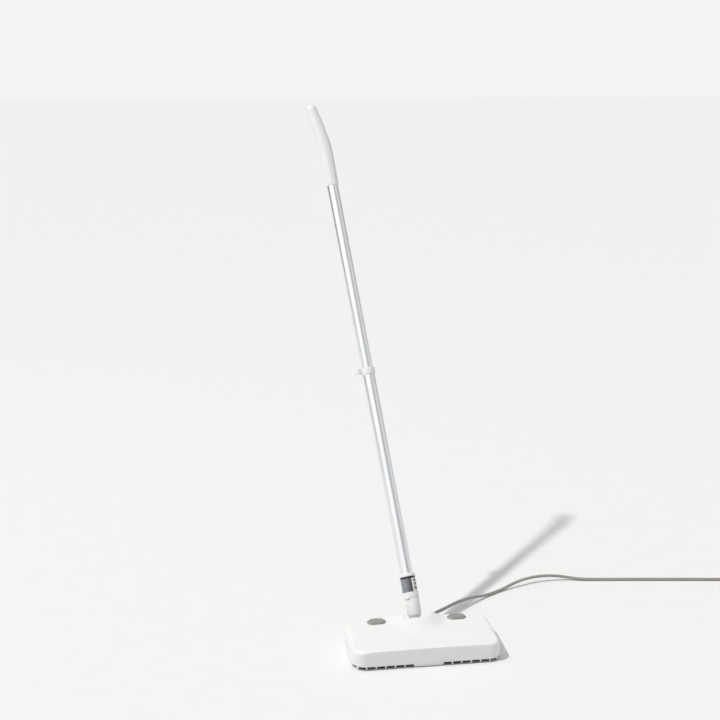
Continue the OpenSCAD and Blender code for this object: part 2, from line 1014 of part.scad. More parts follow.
module handle_solid(inset) {
    low_r = handle_d / 2 - inset;
    mid_r = grip_d / 2 - inset;
    end_r = tip_d / 2 - inset;
    shoulder = top_len - inset - end_r;
    rotate([0, 0, seam_turn])
        rotate_extrude()
            polygon([[0, handle_s], [low_r, handle_s], [mid_r, bend_s], [0, bend_s]]);
    at_bend()
        rotate([0, 0, seam_turn]) {
            sphere(mid_r + bend_bulge);
            rotate_extrude()
                polygon([[0, 0], [mid_r, 0],
                         for (q = [0 : 15 : 75]) [end_r * cos(q), shoulder + end_r * sin(q)],
                         [0, shoulder + end_r]]);
        }
}

module handle_hollow() {
    difference() {
        handle_solid(0);
        difference() {
            handle_solid(handle_wall);
            cylinder(r = 40, h = tube_in_handle + 2);
        }
        cylinder(r = upper_r + fit, h = tube_in_handle + 2 + through);
        for (s = handle_screw_s)
            translate([0, 0, s]) {
                translate([0, 10, 0])
                    y_bar(1.6, 20);
                translate([0, screw_seat_y + 20, 0])
                    y_bar(2.8, 40);
            }
    }
}

module handle_front() {
    color("#f5f5f4")
        in_pole()
            intersection() {
                handle_hollow();
                translate([-150, -100, 900])
                    cube([300, 100, 500]);
            }
}

module handle_rear() {
    color("#f5f5f4")
        in_pole()
            intersection() {
                handle_hollow();
                translate([-150, 0, 900])
                    cube([300, 100, 500]);
            }
}

module handle_screws() {
    color("#b8babc")
        in_pole()
            for (s = handle_screw_s)
                translate([0, screw_seat_y, s])
                    rotate([90, 0, 0])
                        screw(2.6, 0.9, 3.4);
}

// ---- lead ----

module strain_relief() {
    color("#8f8d8a")
        translate([exit_x, 0, exit_z]) {
            translate([0, head_d / 2 + relief_len - 1, 0])
                rotate([90, 0, 0])
                    cylinder(r1 = lead_r + 0.9, r2 = 6.2, h = relief_len - 1);
            translate([0, head_d / 2 - wall / 2, 0])
                y_bar(6.2, wall + 2);
            translate([0, head_d / 2 - wall - 1.6, 0])
                y_bar(8, 2.4);
        }
}

module lead_tube() {
    color("#9a9894") {
        swept(smooth(route, 2), lead_r, tube_sides);
        swept(smooth(tail, 1), lead_r, tube_sides);
    }
}

module lead_coil() {
    color("#9a9894")
        translate([coil_x, coil_y, 0])
            difference() {
                rotate_extrude()
                    translate([coil_in, 0])
                        square([coil_out - coil_in, coil_h]);
                tie_band(through);
            }
}

// strap round the bundle, sunk into it by its own thickness
module tie_band(proud = 0) {
    rotate([0, 0, tie_turn - tie_angle / 2])
        rotate_extrude(angle = tie_angle)
            difference() {
                translate([coil_in - proud, -proud])
                    square([coil_out - coil_in + 2 * proud, coil_h + 2 * proud]);
                translate([coil_in + tie_t, tie_t])
                    square([coil_out - coil_in - 2 * tie_t, coil_h - 2 * tie_t]);
            }
}

module lead_tie() {
    color("#3a3b3d")
        translate([coil_x, coil_y, 0])
            tie_band();
}

module plug_body() {
    color("#9a9894")
        translate([plug_x, plug_y, plug_z])
            rotate([90, 0, 0]) {
                cylinder(r1 = lead_r + 0.8, r2 = 6, h = 12);
                translate([0, 0, 12])
                    cylinder(r1 = 9, r2 = 14, h = 8);
                translate([0, 0, 20])
                    cylinder(r1 = 14, r2 = plug_r, h = 4);
                translate([0, 0, 24])
                    cylinder(r = plug_r, h = plug_len - 24);
            }
}

module plug_pins() {
    color("#c9c6bd")
        for (side = [-1, 1])
            translate([plug_x + side * pin_gap / 2, plug_y - plug_len, plug_z])
                rotate([90, 0, 0]) {
                    cylinder(r = pin_r, h = pin_len - 1.5);
                    translate([0, 0, pin_len - 1.5])
                        cylinder(r1 = pin_r, r2 = pin_r - 0.9, h = 1.5);
                }
}

top_shell();
chassis();
sole_plate();
hook_strips();
mop_pad();
case_screws();
sole_screws();
water_tank();
pump();
suction_hose();
feed_hose();
heater_block();
thermostat();
steam_nozzle();
control_board();
micro_switch();
joint_brackets();
bracket_screws();
pedal_cap();
pedal_spring();
filler_cap();
cap_gasket();
cap_hinge_pin();
tilt_yoke();
lean_pin();
neck_socket();
pole_collar();
label_band();
release_button();
button_spring();
lower_tube();
clip_collar();
lever_pin();
clip_lever();
upper_tube();
slide_bush();
handle_front();
handle_rear();
handle_screws();
strain_relief();
lead_tube();
lead_coil();
lead_tie();
plug_body();
plug_pins();
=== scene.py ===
import json
import math

import bmesh
import bpy
from mathutils import Matrix, Vector


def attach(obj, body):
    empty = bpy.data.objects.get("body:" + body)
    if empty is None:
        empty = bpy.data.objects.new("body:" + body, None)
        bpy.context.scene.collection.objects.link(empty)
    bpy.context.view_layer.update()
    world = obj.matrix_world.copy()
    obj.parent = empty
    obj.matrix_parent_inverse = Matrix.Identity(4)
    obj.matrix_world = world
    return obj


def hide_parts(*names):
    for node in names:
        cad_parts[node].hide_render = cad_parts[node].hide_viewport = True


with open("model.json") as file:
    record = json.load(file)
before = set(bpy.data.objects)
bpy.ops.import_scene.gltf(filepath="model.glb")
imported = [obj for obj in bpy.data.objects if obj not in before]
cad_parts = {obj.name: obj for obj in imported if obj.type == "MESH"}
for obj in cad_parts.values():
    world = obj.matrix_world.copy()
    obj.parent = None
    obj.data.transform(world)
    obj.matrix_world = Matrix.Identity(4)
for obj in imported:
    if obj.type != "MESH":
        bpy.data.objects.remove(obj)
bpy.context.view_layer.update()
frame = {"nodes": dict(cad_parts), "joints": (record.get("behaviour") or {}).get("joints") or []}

# Lengths below are millimetres unless a name or a comment says otherwise.
MM = 0.001
EVERY_WAY = Matrix.Scale(MM, 4)

JOINTS = {j["name"]: j for j in frame["joints"]}
NECK = Vector(JOINTS["neck_tilt"]["pos_m"])
ALONG = Vector(JOINTS["telescope"]["axis"]).normalized()
LEAN = Vector(JOINTS["neck_lean"]["axis"]).normalized()


def frame_of(x, y, z, origin):
    """A matrix with those axes and that origin, in metres."""
    turn = Matrix((x, y, z)).transposed().to_4x4()
    return Matrix.Translation(origin) @ turn


# The pole's own frame: +Z along the pole, +X to its right, origin at the neck pivot.
POLE = frame_of(LEAN.cross(ALONG), LEAN, ALONG, NECK)


# ---- camera, light and floor, in metres ----

FLOOR_RADIUS = 60


def make_camera():
    camera = bpy.data.objects.new("camera", bpy.data.cameras.new("camera"))
    bpy.context.scene.collection.objects.link(camera)
    camera.data.lens = 62.8
    camera.data.sensor_width = 36
    camera.data.clip_end = 200
    camera.location = (-0.464, -2.427, 1.197)
    ahead = Vector((0.13359, 0.96571, -0.22263))
    roll = Matrix.Rotation(math.radians(-0.4035), 3, "Z")
    camera.rotation_euler = (ahead.to_track_quat("-Z", "Y").to_matrix() @ roll).to_euler()
    bpy.context.scene.camera = camera


def make_sun():
    """Hard light from the left, well above the horizon."""
    sun = bpy.data.objects.new("key", bpy.data.lights.new("key", "SUN"))
    sun.data.energy = 1.85
    sun.data.angle = math.radians(2.2)
    sun.data.color = (1, 0.985, 0.955)
    sun.rotation_euler = Vector((0.63, 0.12, -1)).to_track_quat("-Z", "Y").to_euler()
    bpy.context.scene.collection.objects.link(sun)


def make_soft_light(name, place, aim, width, power):
    light = bpy.data.objects.new(name, bpy.data.lights.new(name, "AREA"))
    light.data.shape = "DISK"
    light.data.size = width
    light.data.energy = power
    light.location = place
    light.rotation_euler = (Vector(aim) - Vector(place)).to_track_quat("-Z", "Y").to_euler()
    bpy.context.scene.collection.objects.link(light)


def layered(tree, share, under, over):
    """One shader laid over another by a share."""
    both = tree.nodes.new("ShaderNodeMixShader")
    tree.links.new(share, both.inputs[0])
    tree.links.new(under.outputs[0], both.inputs[1])
    tree.links.new(over.outputs[0], both.inputs[2])
    return both


def make_world():
    """A sky that is brighter overhead, and a room with dark corners that the tubes mirror as bands."""
    world = bpy.data.worlds.new("studio")
    world.use_nodes = True
    bpy.context.scene.world = world
    tree = world.node_tree
    room = tree.nodes["Background"]
    room.inputs["Strength"].default_value = 0.78
    turned = tree.nodes.new("ShaderNodeTexGradient")
    turned.gradient_type = "RADIAL"
    tree.links.new(add(tree, "ShaderNodeTexCoord").outputs["Generated"], turned.inputs["Vector"])
    walls = add(tree, "ShaderNodeValToRGB")
    ramp = walls.color_ramp
    ramp.interpolation = "EASE"
    corners = ((0.0, 0.8), (0.04, 1.1), (0.1, 1.45), (0.2, 1.5), (0.26, 1.05), (0.295, 0.75),
               (0.327, 0.42), (0.36, 0.8), (0.42, 1.0), (0.5, 0.95), (0.58, 0.7), (0.615, 0.3),
               (0.65, 0.75), (0.72, 0.95), (0.82, 0.75), (0.88, 0.42), (0.935, 0.3), (0.96, 0.6),
               (1.0, 0.8))
    ramp.elements[1].position = corners[-1][0]
    for place, _ in corners[1:-1]:
        ramp.elements.new(place)
    for element, (_, grey) in zip(ramp.elements, corners):
        element.color = (grey * 0.99, grey, grey * 1.015, 1)
    tree.links.new(turned.outputs["Fac"], walls.inputs["Fac"])
    tree.links.new(walls.outputs["Color"], room.inputs["Color"])
    seen = add(tree, "ShaderNodeBackground", Color=(0.9, 0.898, 0.9, 1))
    sky = tree.nodes.new("ShaderNodeBackground")
    up = tree.nodes.new("ShaderNodeSeparateXYZ")
    tree.links.new(turned.inputs["Vector"].links[0].from_socket, up.inputs["Vector"])
    tree.links.new(spread(tree, up.outputs["Z"], 0.16, 0.98, (0, 1)), sky.inputs["Strength"])
    rays = tree.nodes.new("ShaderNodeLightPath")
    mirrored = layered(tree, rays.outputs["Is Glossy Ray"], sky, room)
    shown = layered(tree, rays.outputs["Is Camera Ray"], mirrored, seen)
    tree.links.new(shown.outputs[0], tree.nodes["World Output"].inputs["Surface"])


def make_floor():
    """A pale floor, out to the horizon."""
    bm = bmesh.new()
    bmesh.ops.create_circle(bm, cap_ends=True, radius=FLOOR_RADIUS, segments=96)
    mesh = bpy.data.meshes.new("floor")
    bm.to_mesh(mesh)
    bm.free()
    floor = bpy.data.objects.new("floor", mesh)
    bpy.context.scene.collection.objects.link(floor)
    mesh.materials.append(textured("floor", (0.85, 0.846, 0.85), 0.8, tint=0.008, grain=0.0))


def make_studio():
    bpy.context.scene.view_settings.view_transform = "Standard"
    make_world()
    make_sun()
    make_soft_light("side", (-3.2, 0.2, 2.6), (-0.3, 0, 0), 2.4, 6)
    make_floor()


# ---- materials ----

def add(tree, kind, **values):
    """A node, with its properties and its input sockets set by name."""
    node = tree.nodes.new(kind)
    for name, value in values.items():
        if name in node.inputs:
            node.inputs[name].default_value = value
        else:
            setattr(node, name, value)
    return node


def noise_at(tree, coordinates, scale, detail=3.0, stretch=(1, 1, 1)):
    """Noise over the object, with features of about 1 / scale metres, stretched along its axes."""
    mapping = add(tree, "ShaderNodeMapping", Scale=stretch)
    tree.links.new(coordinates, mapping.inputs["Vector"])
    made = add(tree, "ShaderNodeTexNoise", Scale=scale, Detail=detail)
    tree.links.new(mapping.outputs["Vector"], made.inputs["Vector"])
    return made.outputs["Fac"]


def spread(tree, value, low, high, source=(0.3, 0.7)):
    """The value, taken from the source range to low and high."""
    made = add(tree, "ShaderNodeMapRange")
    for name, number in zip(("From Min", "From Max", "To Min", "To Max"), (*source, low, high)):
        made.inputs[name].default_value = number
    tree.links.new(value, made.inputs["Value"])
    return made.outputs["Result"]


def shades(tree, value, dark, light):
    """A colour between two, by the value."""
    made = add(tree, "ShaderNodeValToRGB")
    made.color_ramp.elements[0].color = (*dark, 1)
    made.color_ramp.elements[1].color = (*light, 1)
    tree.links.new(value, made.inputs["Fac"])
    return made.outputs["Color"]


def bumped(tree, value, strength, distance):
    made = add(tree, "ShaderNodeBump", Strength=strength, Distance=distance)
    tree.links.new(value, made.inputs["Height"])
    return made.outputs["Normal"]


def new_material(name):
    material = bpy.data.materials.new(name)
    material.use_nodes = True
    tree = material.node_tree
    place = add(tree, "ShaderNodeTexCoord").outputs["Object"]
    return material, tree, tree.nodes["Principled BSDF"], place


def textured(name, colour, rough, tint=0.02, tint_scale=18, grain=0.1, grain_scale=1400,
             rough_swing=0.05, stretch=(1, 1, 1), depth=0.00006, **sockets):
    """Moulded plastic, cast or drawn metal: slight clouds of colour, uneven gloss and a fine surface."""
    material, tree, shader, place = new_material(name)
    clouds = noise_at(tree, place, tint_scale, 4.0, stretch)
    dark, light = ([min(1, c * k) for c in colour] for k in (1 - tint, 1 + tint))
    colour_out = shades(tree, spread(tree, clouds, 0, 1), dark, light)
    tree.links.new(colour_out, shader.inputs["Base Color"])
    fine = noise_at(tree, place, grain_scale, 2.0, stretch)
    rough_out = spread(tree, fine, rough - rough_swing, rough + rough_swing)
    tree.links.new(rough_out, shader.inputs["Roughness"])
    if grain:
        tree.links.new(bumped(tree, fine, grain, depth), shader.inputs["Normal"])
    for socket, value in sockets.items():
        shader.inputs[socket.replace("_", " ")].default_value = value
    return material


# ---- meshes ----

def as_object(name, bm, place=None, sharp=35):
    """An object from a mesh in millimetres; place is its frame, in metres."""
    bmesh.ops.remove_doubles(bm, verts=bm.verts, dist=1e-4)
    bmesh.ops.recalc_face_normals(bm, faces=bm.faces)
    bm.transform(EVERY_WAY)
    mesh = bpy.data.meshes.new(name)
    bm.to_mesh(mesh)
    bm.free()
    obj = bpy.data.objects.new(name, mesh)
    bpy.context.scene.collection.objects.link(obj)
    obj.matrix_world = place or Matrix.Identity(4)
    smoothed(mesh, sharp)
    return obj


def smoothed(mesh, sharp=35):
    mesh.shade_smooth()
    mesh.set_sharp_from_angle(angle=math.radians(sharp))


def loft(rings, around=True, caps=True):
    """A skin over rings of points, one after the other."""
    bm = bmesh.new()
    rows = [[bm.verts.new(p) for p in ring] for ring in rings]
    for a, b in zip(rows, rows[1:]):
        for k in range(0 if around else 1, len(a)):
            bm.faces.new((a[k - 1], a[k], b[k], b[k - 1]))
    if caps:
        bm.faces.new(rows[0][::-1])
        bm.faces.new(rows[-1])
    return bm


def lathe(profile, sides=96):
    """A closed profile of (radius, height) turned round Z."""
    bm = bmesh.new()
    rows = []
    for i in range(sides):
        a = math.tau * i / sides
        rows.append([bm.verts.new((r * math.cos(a), r * math.sin(a), z)) for r, z in profile])
    for a, b in zip(rows, rows[1:] + rows[:1]):
        for k in range(len(profile)):
            bm.faces.new((a[k - 1], a[k], b[k], b[k - 1]))
    return bm


def soft(points, radius=0.6, steps=3):
    """A closed outline with its corners rounded. Corners on the axis, at 0, stay."""
    made = []
    for i, corner in enumerate(points):
        here = Vector(corner)
        before, after = Vector(points[i - 1]), Vector(points[(i + 1) % len(points)])
        if here.x < 1e-6 and min(before.x, after.x) < 1e-6:
            made.append(tuple(here))
            continue
        back, ahead = before - here, after - here
        reach = min(radius, 0.45 * back.length, 0.45 * ahead.length)
        start, end = here + back.normalized() * reach, here + ahead.normalized() * reach
        for k in range(steps + 1):
            t = k / steps
            made.append(tuple(start * (1 - t) ** 2 + here * 2 * t * (1 - t) + end * t * t))
    return made


def prism(outline, low, high, steps=1):
    """An outline of (x, y) points drawn up along Z."""
    levels = [low + (high - low) * k / steps for k in range(steps + 1)]
    return loft([[(x, y, z) for x, y in outline] for z in levels])


def block(size, centre):
    """A box, as a cutter or inside another piece."""
    x, y = size[0] / 2, size[1] / 2
    outline = [(-x, -y), (x, -y), (x, y), (-x, y)]
    bm = prism(outline, -size[2] / 2, size[2] / 2)
    bmesh.ops.translate(bm, vec=centre, verts=bm.verts)
    return bm


def rod(radius, low, high, sides=48):
    return prism([(radius * math.cos(math.tau * k / sides), radius * math.sin(math.tau * k / sides))
                  for k in range(sides)], low, high)


def carve(obj, cutters, mode="DIFFERENCE", sharp=35):
    """obj with the cutters taken away, or joined on; the cutters are used up."""
    for cutter in cutters:
        made = obj.modifiers.new("carve", "BOOLEAN")
        made.operation, made.object, made.solver = mode, cutter, "EXACT"
    bpy.context.view_layer.update()
    done = obj.evaluated_get(bpy.context.evaluated_depsgraph_get())
    mesh = bpy.data.meshes.new_from_object(done)
    obj.modifiers.clear()
    obj.data = mesh
    for cutter in cutters:
        bpy.data.objects.remove(cutter)
    smoothed(mesh, sharp)
    return obj


def dress(obj, material, body, slot, *nodes):
    """Gives a piece its material and its body, and hides the CAD nodes that it stands for."""
    obj.data.materials.clear()
    obj.data.materials.append(material)
    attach(obj, body)
    if nodes:
        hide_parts(*nodes)
    return obj


# ---- pieces shared by several sub-parts ----

def ease(t):
    """A smooth rise from 0 to 1."""
    t = max(0.0, min(1.0, t))
    return t * t * (3 - 2 * t)


def turned(obj, angle, axis, origin=(0, 0, 0)):
    """Turns a piece's mesh about an axis through a point, in millimetres and degrees."""
    at = Vector(origin) * MM
    turn = Matrix.Rotation(math.radians(angle), 4, axis)
    obj.data.transform(Matrix.Translation(at) @ turn @ Matrix.Translation(-at))
    return obj


def moved(obj, x, y, z):
    obj.data.transform(Matrix.Translation(Vector((x, y, z)) * MM))
    return obj


def bevelled(obj, width, segments=2, angle=38):
    """Rounds a piece's sharp edges, leaving its curved faces alone."""
    made = obj.modifiers.new("edges", "BEVEL")
    made.width, made.segments, made.limit_method = width * MM, segments, "ANGLE"
    made.angle_limit = math.radians(angle)
    made.harden_normals = False
    return obj


def softened(name, width, segments=2):
    """A CAD node with its triangles joined up and its edges rounded."""
    node = frame["nodes"][name]
    weld = node.modifiers.new("weld", "WELD")
    weld.merge_threshold = 2e-5
    bevelled(node, width, segments, 40)
    node.data.shade_smooth()
    return node


def across(bm, axis):
    """A mesh drawn up along Z, laid along X or Y instead."""
    turn = Matrix.Rotation(math.radians(90), 4, "Y" if axis == "X" else "X")
    bm.transform(turn)
    return bm


# ---- head ----

HALF_W, HALF_D, CORNER = 156.0, 79.0, 27.0
TOP_Z, DECK_Z, WALL = 42.0, 12.0, 2.2
RECESS_X, RECESS_FRONT, RECESS_CORNER = 30.0, 44.0, 8.0
OVAL_X, OVAL_Y, OVAL_FLAT, OVAL_R = 88.0, 61.0, 17.0, 12.0
PIVOT_Y, PIVOT_Z = 62.0, 30.0
DOME_REACH, DOME_RISE = 62.0, 16.0
EXIT_X, EXIT_Z = 44.0, 22.0
TRUNNION_GAP = 4.6       # half height of the slot that each trunnion passes through
FILLER_HOLE_R, LEAD_HOLE_R, PILOT_R, BOSS_R = 9.5, 6.6, 1.5, 4.0
EAR_X, EAR_HALF = 6.5, 1.5   # hinge ears: their middle from the middle of the cap, and half their width
HINGE_Y, HINGE_Z, HINGE_R = 70.9, 44.4, 2.1
CASE_BOSSES = [(x, y) for x in (-138, 138) for y in (-61, 61)] + [
    (-58, 70), (58, 70), (-50, -71), (50, -71)]


def top_z(x, y):
    """Height of the head's top: nearly flat, with a dome round the neck."""
    away = min(1.0, math.hypot(x * 0.92, y - PIVOT_Y) / DOME_REACH)
    return TOP_Z - 2.2 * (x / HALF_W) ** 4 + DOME_RISE * (1 - away * away) ** 1.8


def edge_radius(x):
    """Rounding of the top edge, softer at both ends of the head."""
    return 2.6 + 5.4 * ease((abs(x) - 112) / 42)


def head_outline(inset, long_steps=64, short_steps=26, corner_steps=12):
    """Plan of the head drawn in by a distance, always with the same number of points."""
    x, y, r = HALF_W - CORNER, HALF_D - CORNER, CORNER - inset
    points = []
    for number, (cx, cy) in enumerate(((x, y), (-x, y), (-x, -y), (x, -y))):
        for k in range(corner_steps + 1):
            a = math.radians(90 * (number + k / corner_steps))
            points.append((cx + r * math.cos(a), cy + r * math.sin(a)))
        steps = short_steps if number % 2 else long_steps
        nx, ny = ((-x, y), (-x, -y), (x, -y), (x, y))[number]
        a = math.radians(90 * (number + 1))
        for k in range(1, steps):
            t = k / steps
            points.append((cx + (nx - cx) * t + r * math.cos(a), cy + (ny - cy) * t + r * math.sin(a)))
    return points


def shell_rings():
    """Rings from the shell's lower edge up the wall, over the rounded edge and in across the top."""
    outer = head_outline(0)
    edges = [edge_radius(x) for x, _ in outer]
    tops = [top_z(x, y) for x, y in outer]
    rings = [[(x, y, DECK_Z) for x, y in head_outline(0.3)]]
    for k in range(6):
        low = DECK_Z + 0.35
        rings.append([(x, y, low + (h - e - low) * k / 5) for (x, y), e, h in zip(outer, edges, tops)])
    plans = {}
    for k in range(1, 16):
        a = math.radians(15 * min(k, 6))
        ring = []
        for i, e in enumerate(edges):
            inset = e * (1 - math.cos(a)) if k <= 6 else e + (CORNER - e) * (k - 6) / 9
            key = round(inset, 4)
            x, y = plans.setdefault(key, head_outline(inset))[i]
            ring.append((x, y, top_z(x, y) - e * (1 - math.sin(a))))
        rings.append(ring)
    return rings


def shell_top(bm):
    """The middle of the top, as a fine grid between the corners' centres."""
    x, y = HALF_W - CORNER, HALF_D - CORNER
    rows = []
    for j in range(27):
        b = -y + 2 * y * j / 26
        rows.append([bm.verts.new((a, b, top_z(a, b))) for a in (-x + 2 * x * i / 64 for i in range(65))])
    for low, high in zip(rows, rows[1:]):
        for i in range(64):
            bm.faces.new((low[i], low[i + 1], high[i + 1], high[i]))


def recess_plan(grow=0.0):
    """Plan of the recess round the neck, open to the rear, with the way out of it at each point."""
    half, corner, front = RECESS_X + grow, RECESS_CORNER + grow, RECESS_FRONT - grow
    flank = [(half, y) for y in (130, 100, 84, 76, 68, 60)]
    plan = [(p, (1, 0)) for p in flank]
    for side in (1, -1):
        for k in range(9):
            a = math.radians(11.25 * k if side > 0 else 90 - 11.25 * k)
            out = (side * math.cos(a), -math.sin(a))
            plan.append(((side * (half - corner) + corner * out[0], front + corner + corner * out[1]), out))
        if side > 0:
            plan += [((x, front), (0, -1)) for x in (15, 9, 3, -3, -9, -15)]
    return plan + [((-x, y), (-1, 0)) for x, y in reversed(flank)]


def recess_cutter():
    """The recess round the neck, with a rounded lip that follows the dome."""
    plan, lip = recess_plan(), 1.4
    tops = [top_z(x + lip * a, min(y + lip * b, HALF_D)) for (x, y), (a, b) in plan]
    levels = [(0, -30.0)] + [(lip * (1 - math.cos(q)), lip * (math.sin(q) - 1))
                             for q in map(math.radians, (0, 18, 36, 54, 72))]
    rings = [[(x + out * a, y + out * b, h + up) for ((x, y), (a, b)), h in zip(plan, tops)]
             for out, up in levels]
    for z in (0.6, 30):
        rings.append([(x + lip * a, y + lip * b, h + z) for ((x, y), (a, b)), h in zip(plan, tops)])
    flat = [[(x, y, z) for x, y, _ in ring] for ring, z in ((rings[0], -1), (rings[-1], 80))]
    return as_object("recess", loft([flat[0], *rings[1:-1], flat[1]]))


def oval_outline(grow=0.0, steps=20):
    """Oval with straight long sides, about its own middle."""
    r, half = OVAL_R + grow, OVAL_FLAT / 2
    points = []
    for side in (1, -1):
        for k in range(steps + 1):
            a = math.radians(-90 * side + 180 * k / steps) if side > 0 else math.radians(90 + 180 * k / steps)
            points.append((side * half + r * math.cos(a), r * math.sin(a)))
    return points


def shell_hollow():
    """The space inside the shell, less the wall round the recess and the screw bosses."""
    hollow = as_object("hollow", prism(head_outline(WALL, 8, 4, 8), DECK_Z - 3, 31))
    carve(hollow, [as_object("middle", block((256, 2 * HALF_D - 2 * WALL - 0.4, 18), (0, 0, 30.4)))], "UNION")
    keep = [as_object("wall", prism([p for p, _ in recess_plan(2)], 0, 80))]
    for x, y in CASE_BOSSES:
        keep.append(moved(as_object("boss", rod(BOSS_R, 0, 60, 24)), x, y, 0))
    return carve(hollow, keep)


def hinge_ears():
    """Two rounded ears that hold the pin of the filler cap."""
    arc = [(HINGE_R * math.cos(a), HINGE_R * math.sin(a))
           for a in (math.radians(15 * k) for k in range(13))]
    outline = [(-z, y) for y, z in arc + [(-HINGE_R - 0.5, -3.2), (HINGE_R + 0.5, -3.2)]]
    ears = []
    for x in (-EAR_X, EAR_X):
        ear = as_object("ear", across(prism(outline, -EAR_HALF, EAR_HALF), "X"))
        carve(ear, [as_object("bore", across(rod(0.85, -3, 3, 20), "X"))])
        ears.append(moved(ear, x - OVAL_X, HINGE_Y, HINGE_Z))
    return ears


def make_shell(material):
    bm = loft(shell_rings(), caps=False)
    bmesh.ops.contextual_create(bm, geom=[e for e in bm.edges if e.is_boundary
                                          and all(v.co.z < DECK_Z + 0.01 for v in e.verts)])
    shell_top(bm)
    shell = as_object("shell", bm)
    slot_top = PIVOT_Z + TRUNNION_GAP
    holes = [recess_cutter(), shell_hollow(),
             as_object("slots", block((70, 2 * TRUNNION_GAP, slot_top + 4), (0, PIVOT_Y, slot_top / 2 - 2))),
             moved(as_object("pedal_hole", prism(oval_outline(0.5), 30, 70)), OVAL_X, OVAL_Y, 0),
             moved(as_object("filler_hole", rod(FILLER_HOLE_R, 30, 70)), -OVAL_X, OVAL_Y, 0),
             moved(as_object("lead_hole", across(rod(LEAD_HOLE_R, -10, 10), "Y")), EXIT_X, HALF_D, EXIT_Z)]
    holes += [moved(as_object("pilot", rod(PILOT_R, 0, 28, 16)), x, y, 0) for x, y in CASE_BOSSES]
    carve(shell, holes)
    carve(shell, hinge_ears(), "UNION")
    return dress(shell, material, "head", "white_shell", "top_shell")


def oval_piece(name, steps):
    """A pebble-shaped button: the oval's outline grown or drawn in, at each height."""
    return as_object(name, loft([[(x, y, z) for x, y in oval_outline(grow)] for grow, z in steps]), sharp=50)


def make_foot_switch(material):
    """Foot switch: a stepped cap with a raised rim, a flange that keeps it in and a stem under it."""
    cap = oval_piece("foot_switch", (
        (1.6, 34), (1.6, 36), (0, 36), (0, 42.1), (-0.6, 42.9), (-1.4, 43.8), (-2.0, 44.4), (-2.5, 44.7),
        (-2.7, 44.9), (-2.8, 45.3), (-3.05, 45.6), (-3.6, 45.75), (-4.3, 45.65), (-5.2, 45.4),
        (-6.4, 45.25), (-8.5, 45.2), (-11.6, 45.2)))
    carve(cap, [as_object("stem", rod(3, 24, 35, 32))], "UNION", sharp=50)
    moved(cap, OVAL_X, OVAL_Y, 0)
    return dress(cap, material, "foot_pedal", "oval_grey", "pedal_cap")


def make_filler_cap(material):
    """Filler cap: a low pebble with a hinge barrel along its rear edge and a seat for its seal."""
    cap = oval_piece("filler_cover", (
        (-0.4, 42.25), (-0.1, 42.35), (0, 42.6), (-0.35, 43.2), (-1.0, 44.0), (-1.8, 44.8), (-2.8, 45.5),
        (-4.0, 46.0), (-5.8, 46.25), (-8.5, 46.3), (-11.6, 46.3)))
    carve(cap, [as_object("rear", block((60, 20, 20), (0, HINGE_Y - OVAL_Y + 10, 44))),
                as_object("seat", rod(8.8, 40, 43.3))], sharp=50)
    barrel = moved(as_object("barrel", across(rod(HINGE_R, -11, 11, 32), "X")), 0, HINGE_Y - OVAL_Y, HINGE_Z)
    carve(cap, [barrel], "UNION", sharp=50)
    gaps = [as_object("gap", block((3.6, 12, 12), (x, HINGE_Y - OVAL_Y + 3.5, 46))) for x in (-EAR_X, EAR_X)]
    bore = moved(as_object("bore", across(rod(0.85, -14, 14, 20), "X")), 0, HINGE_Y - OVAL_Y, HINGE_Z)
    carve(cap, gaps + [bore], sharp=50)
    moved(bevelled(cap, 0.25), -OVAL_X, OVAL_Y, 0)
    return dress(cap, material, "cap", "oval_grey", "filler_cap")


# ---- neck and collar, in the pole's frame ----

SEAM_S, SEAT_S, LABEL_LOW, LABEL_TOP, COLLAR_TOP = 58.0, 62.0, 69.0, 104.0, 111.0
LOWER_R, UPPER_R, TUBE_WALL = 13.9, 13.1, 0.75
BUTTON_TURN = 230.0


def turned_profile(name, profile, radius=0.5, sharp=40):
    """A piece of revolution about the pole's axis, from its closed outline."""
    return as_object(name, lathe(soft(profile, radius)), sharp=sharp)


def at_button(obj):
    return turned(obj, BUTTON_TURN, "Z")


def button_plate(grow, tip=0.0):
    """The button's outline, V-shaped below, drawn outwards from the pole; the V grows down by tip more."""
    half = 5.5 + grow
    outline = [(-half, 66 + grow), (-half, 57.4 - grow - tip), (0, 54.6 - grow - tip),
               (half, 57.4 - grow - tip), (half, 66 + grow)]
    rounded = soft([(p[0] + 20, p[1]) for p in outline], 0.8)
    bm = loft([[(x, y - 20, z) for y, z in rounded] for x in (9, 21)])
    return at_button(as_object("button_plate", bm))


def placed(obj, material, body, slot, *nodes):
    """Puts a piece made in the pole's frame where the pole is."""
    obj.matrix_world = POLE
    return dress(obj, material, body, slot, *nodes)


def make_neck(material):
    neck = turned_profile("neck", [
        (0, 13), (10.5, 13), (14.8, 21), (15.4, 30), (16.6, SEAM_S - 0.35), (14, SEAM_S - 0.35),
        (14, 30), (0, 30)], 1.0)
    side = [(10 * math.cos(a), 10 * math.sin(a)) for a in (math.radians(-180 + 9 * k) for k in range(21))]
    side += [(10, 16), (-10, 16)]
    tongue = as_object("tongue", loft([[(x, y, z) for x, z in side] for y in (-8, 8)]))
    carve(neck, [tongue], "UNION")
    carve(neck, [button_plate(0.25, 1.7), as_object("bore", across(rod(3.05, -20, 20, 32), "Y"))])
    return placed(bevelled(neck, 0.35), material, "pole", "white_pole_parts", "neck_socket")


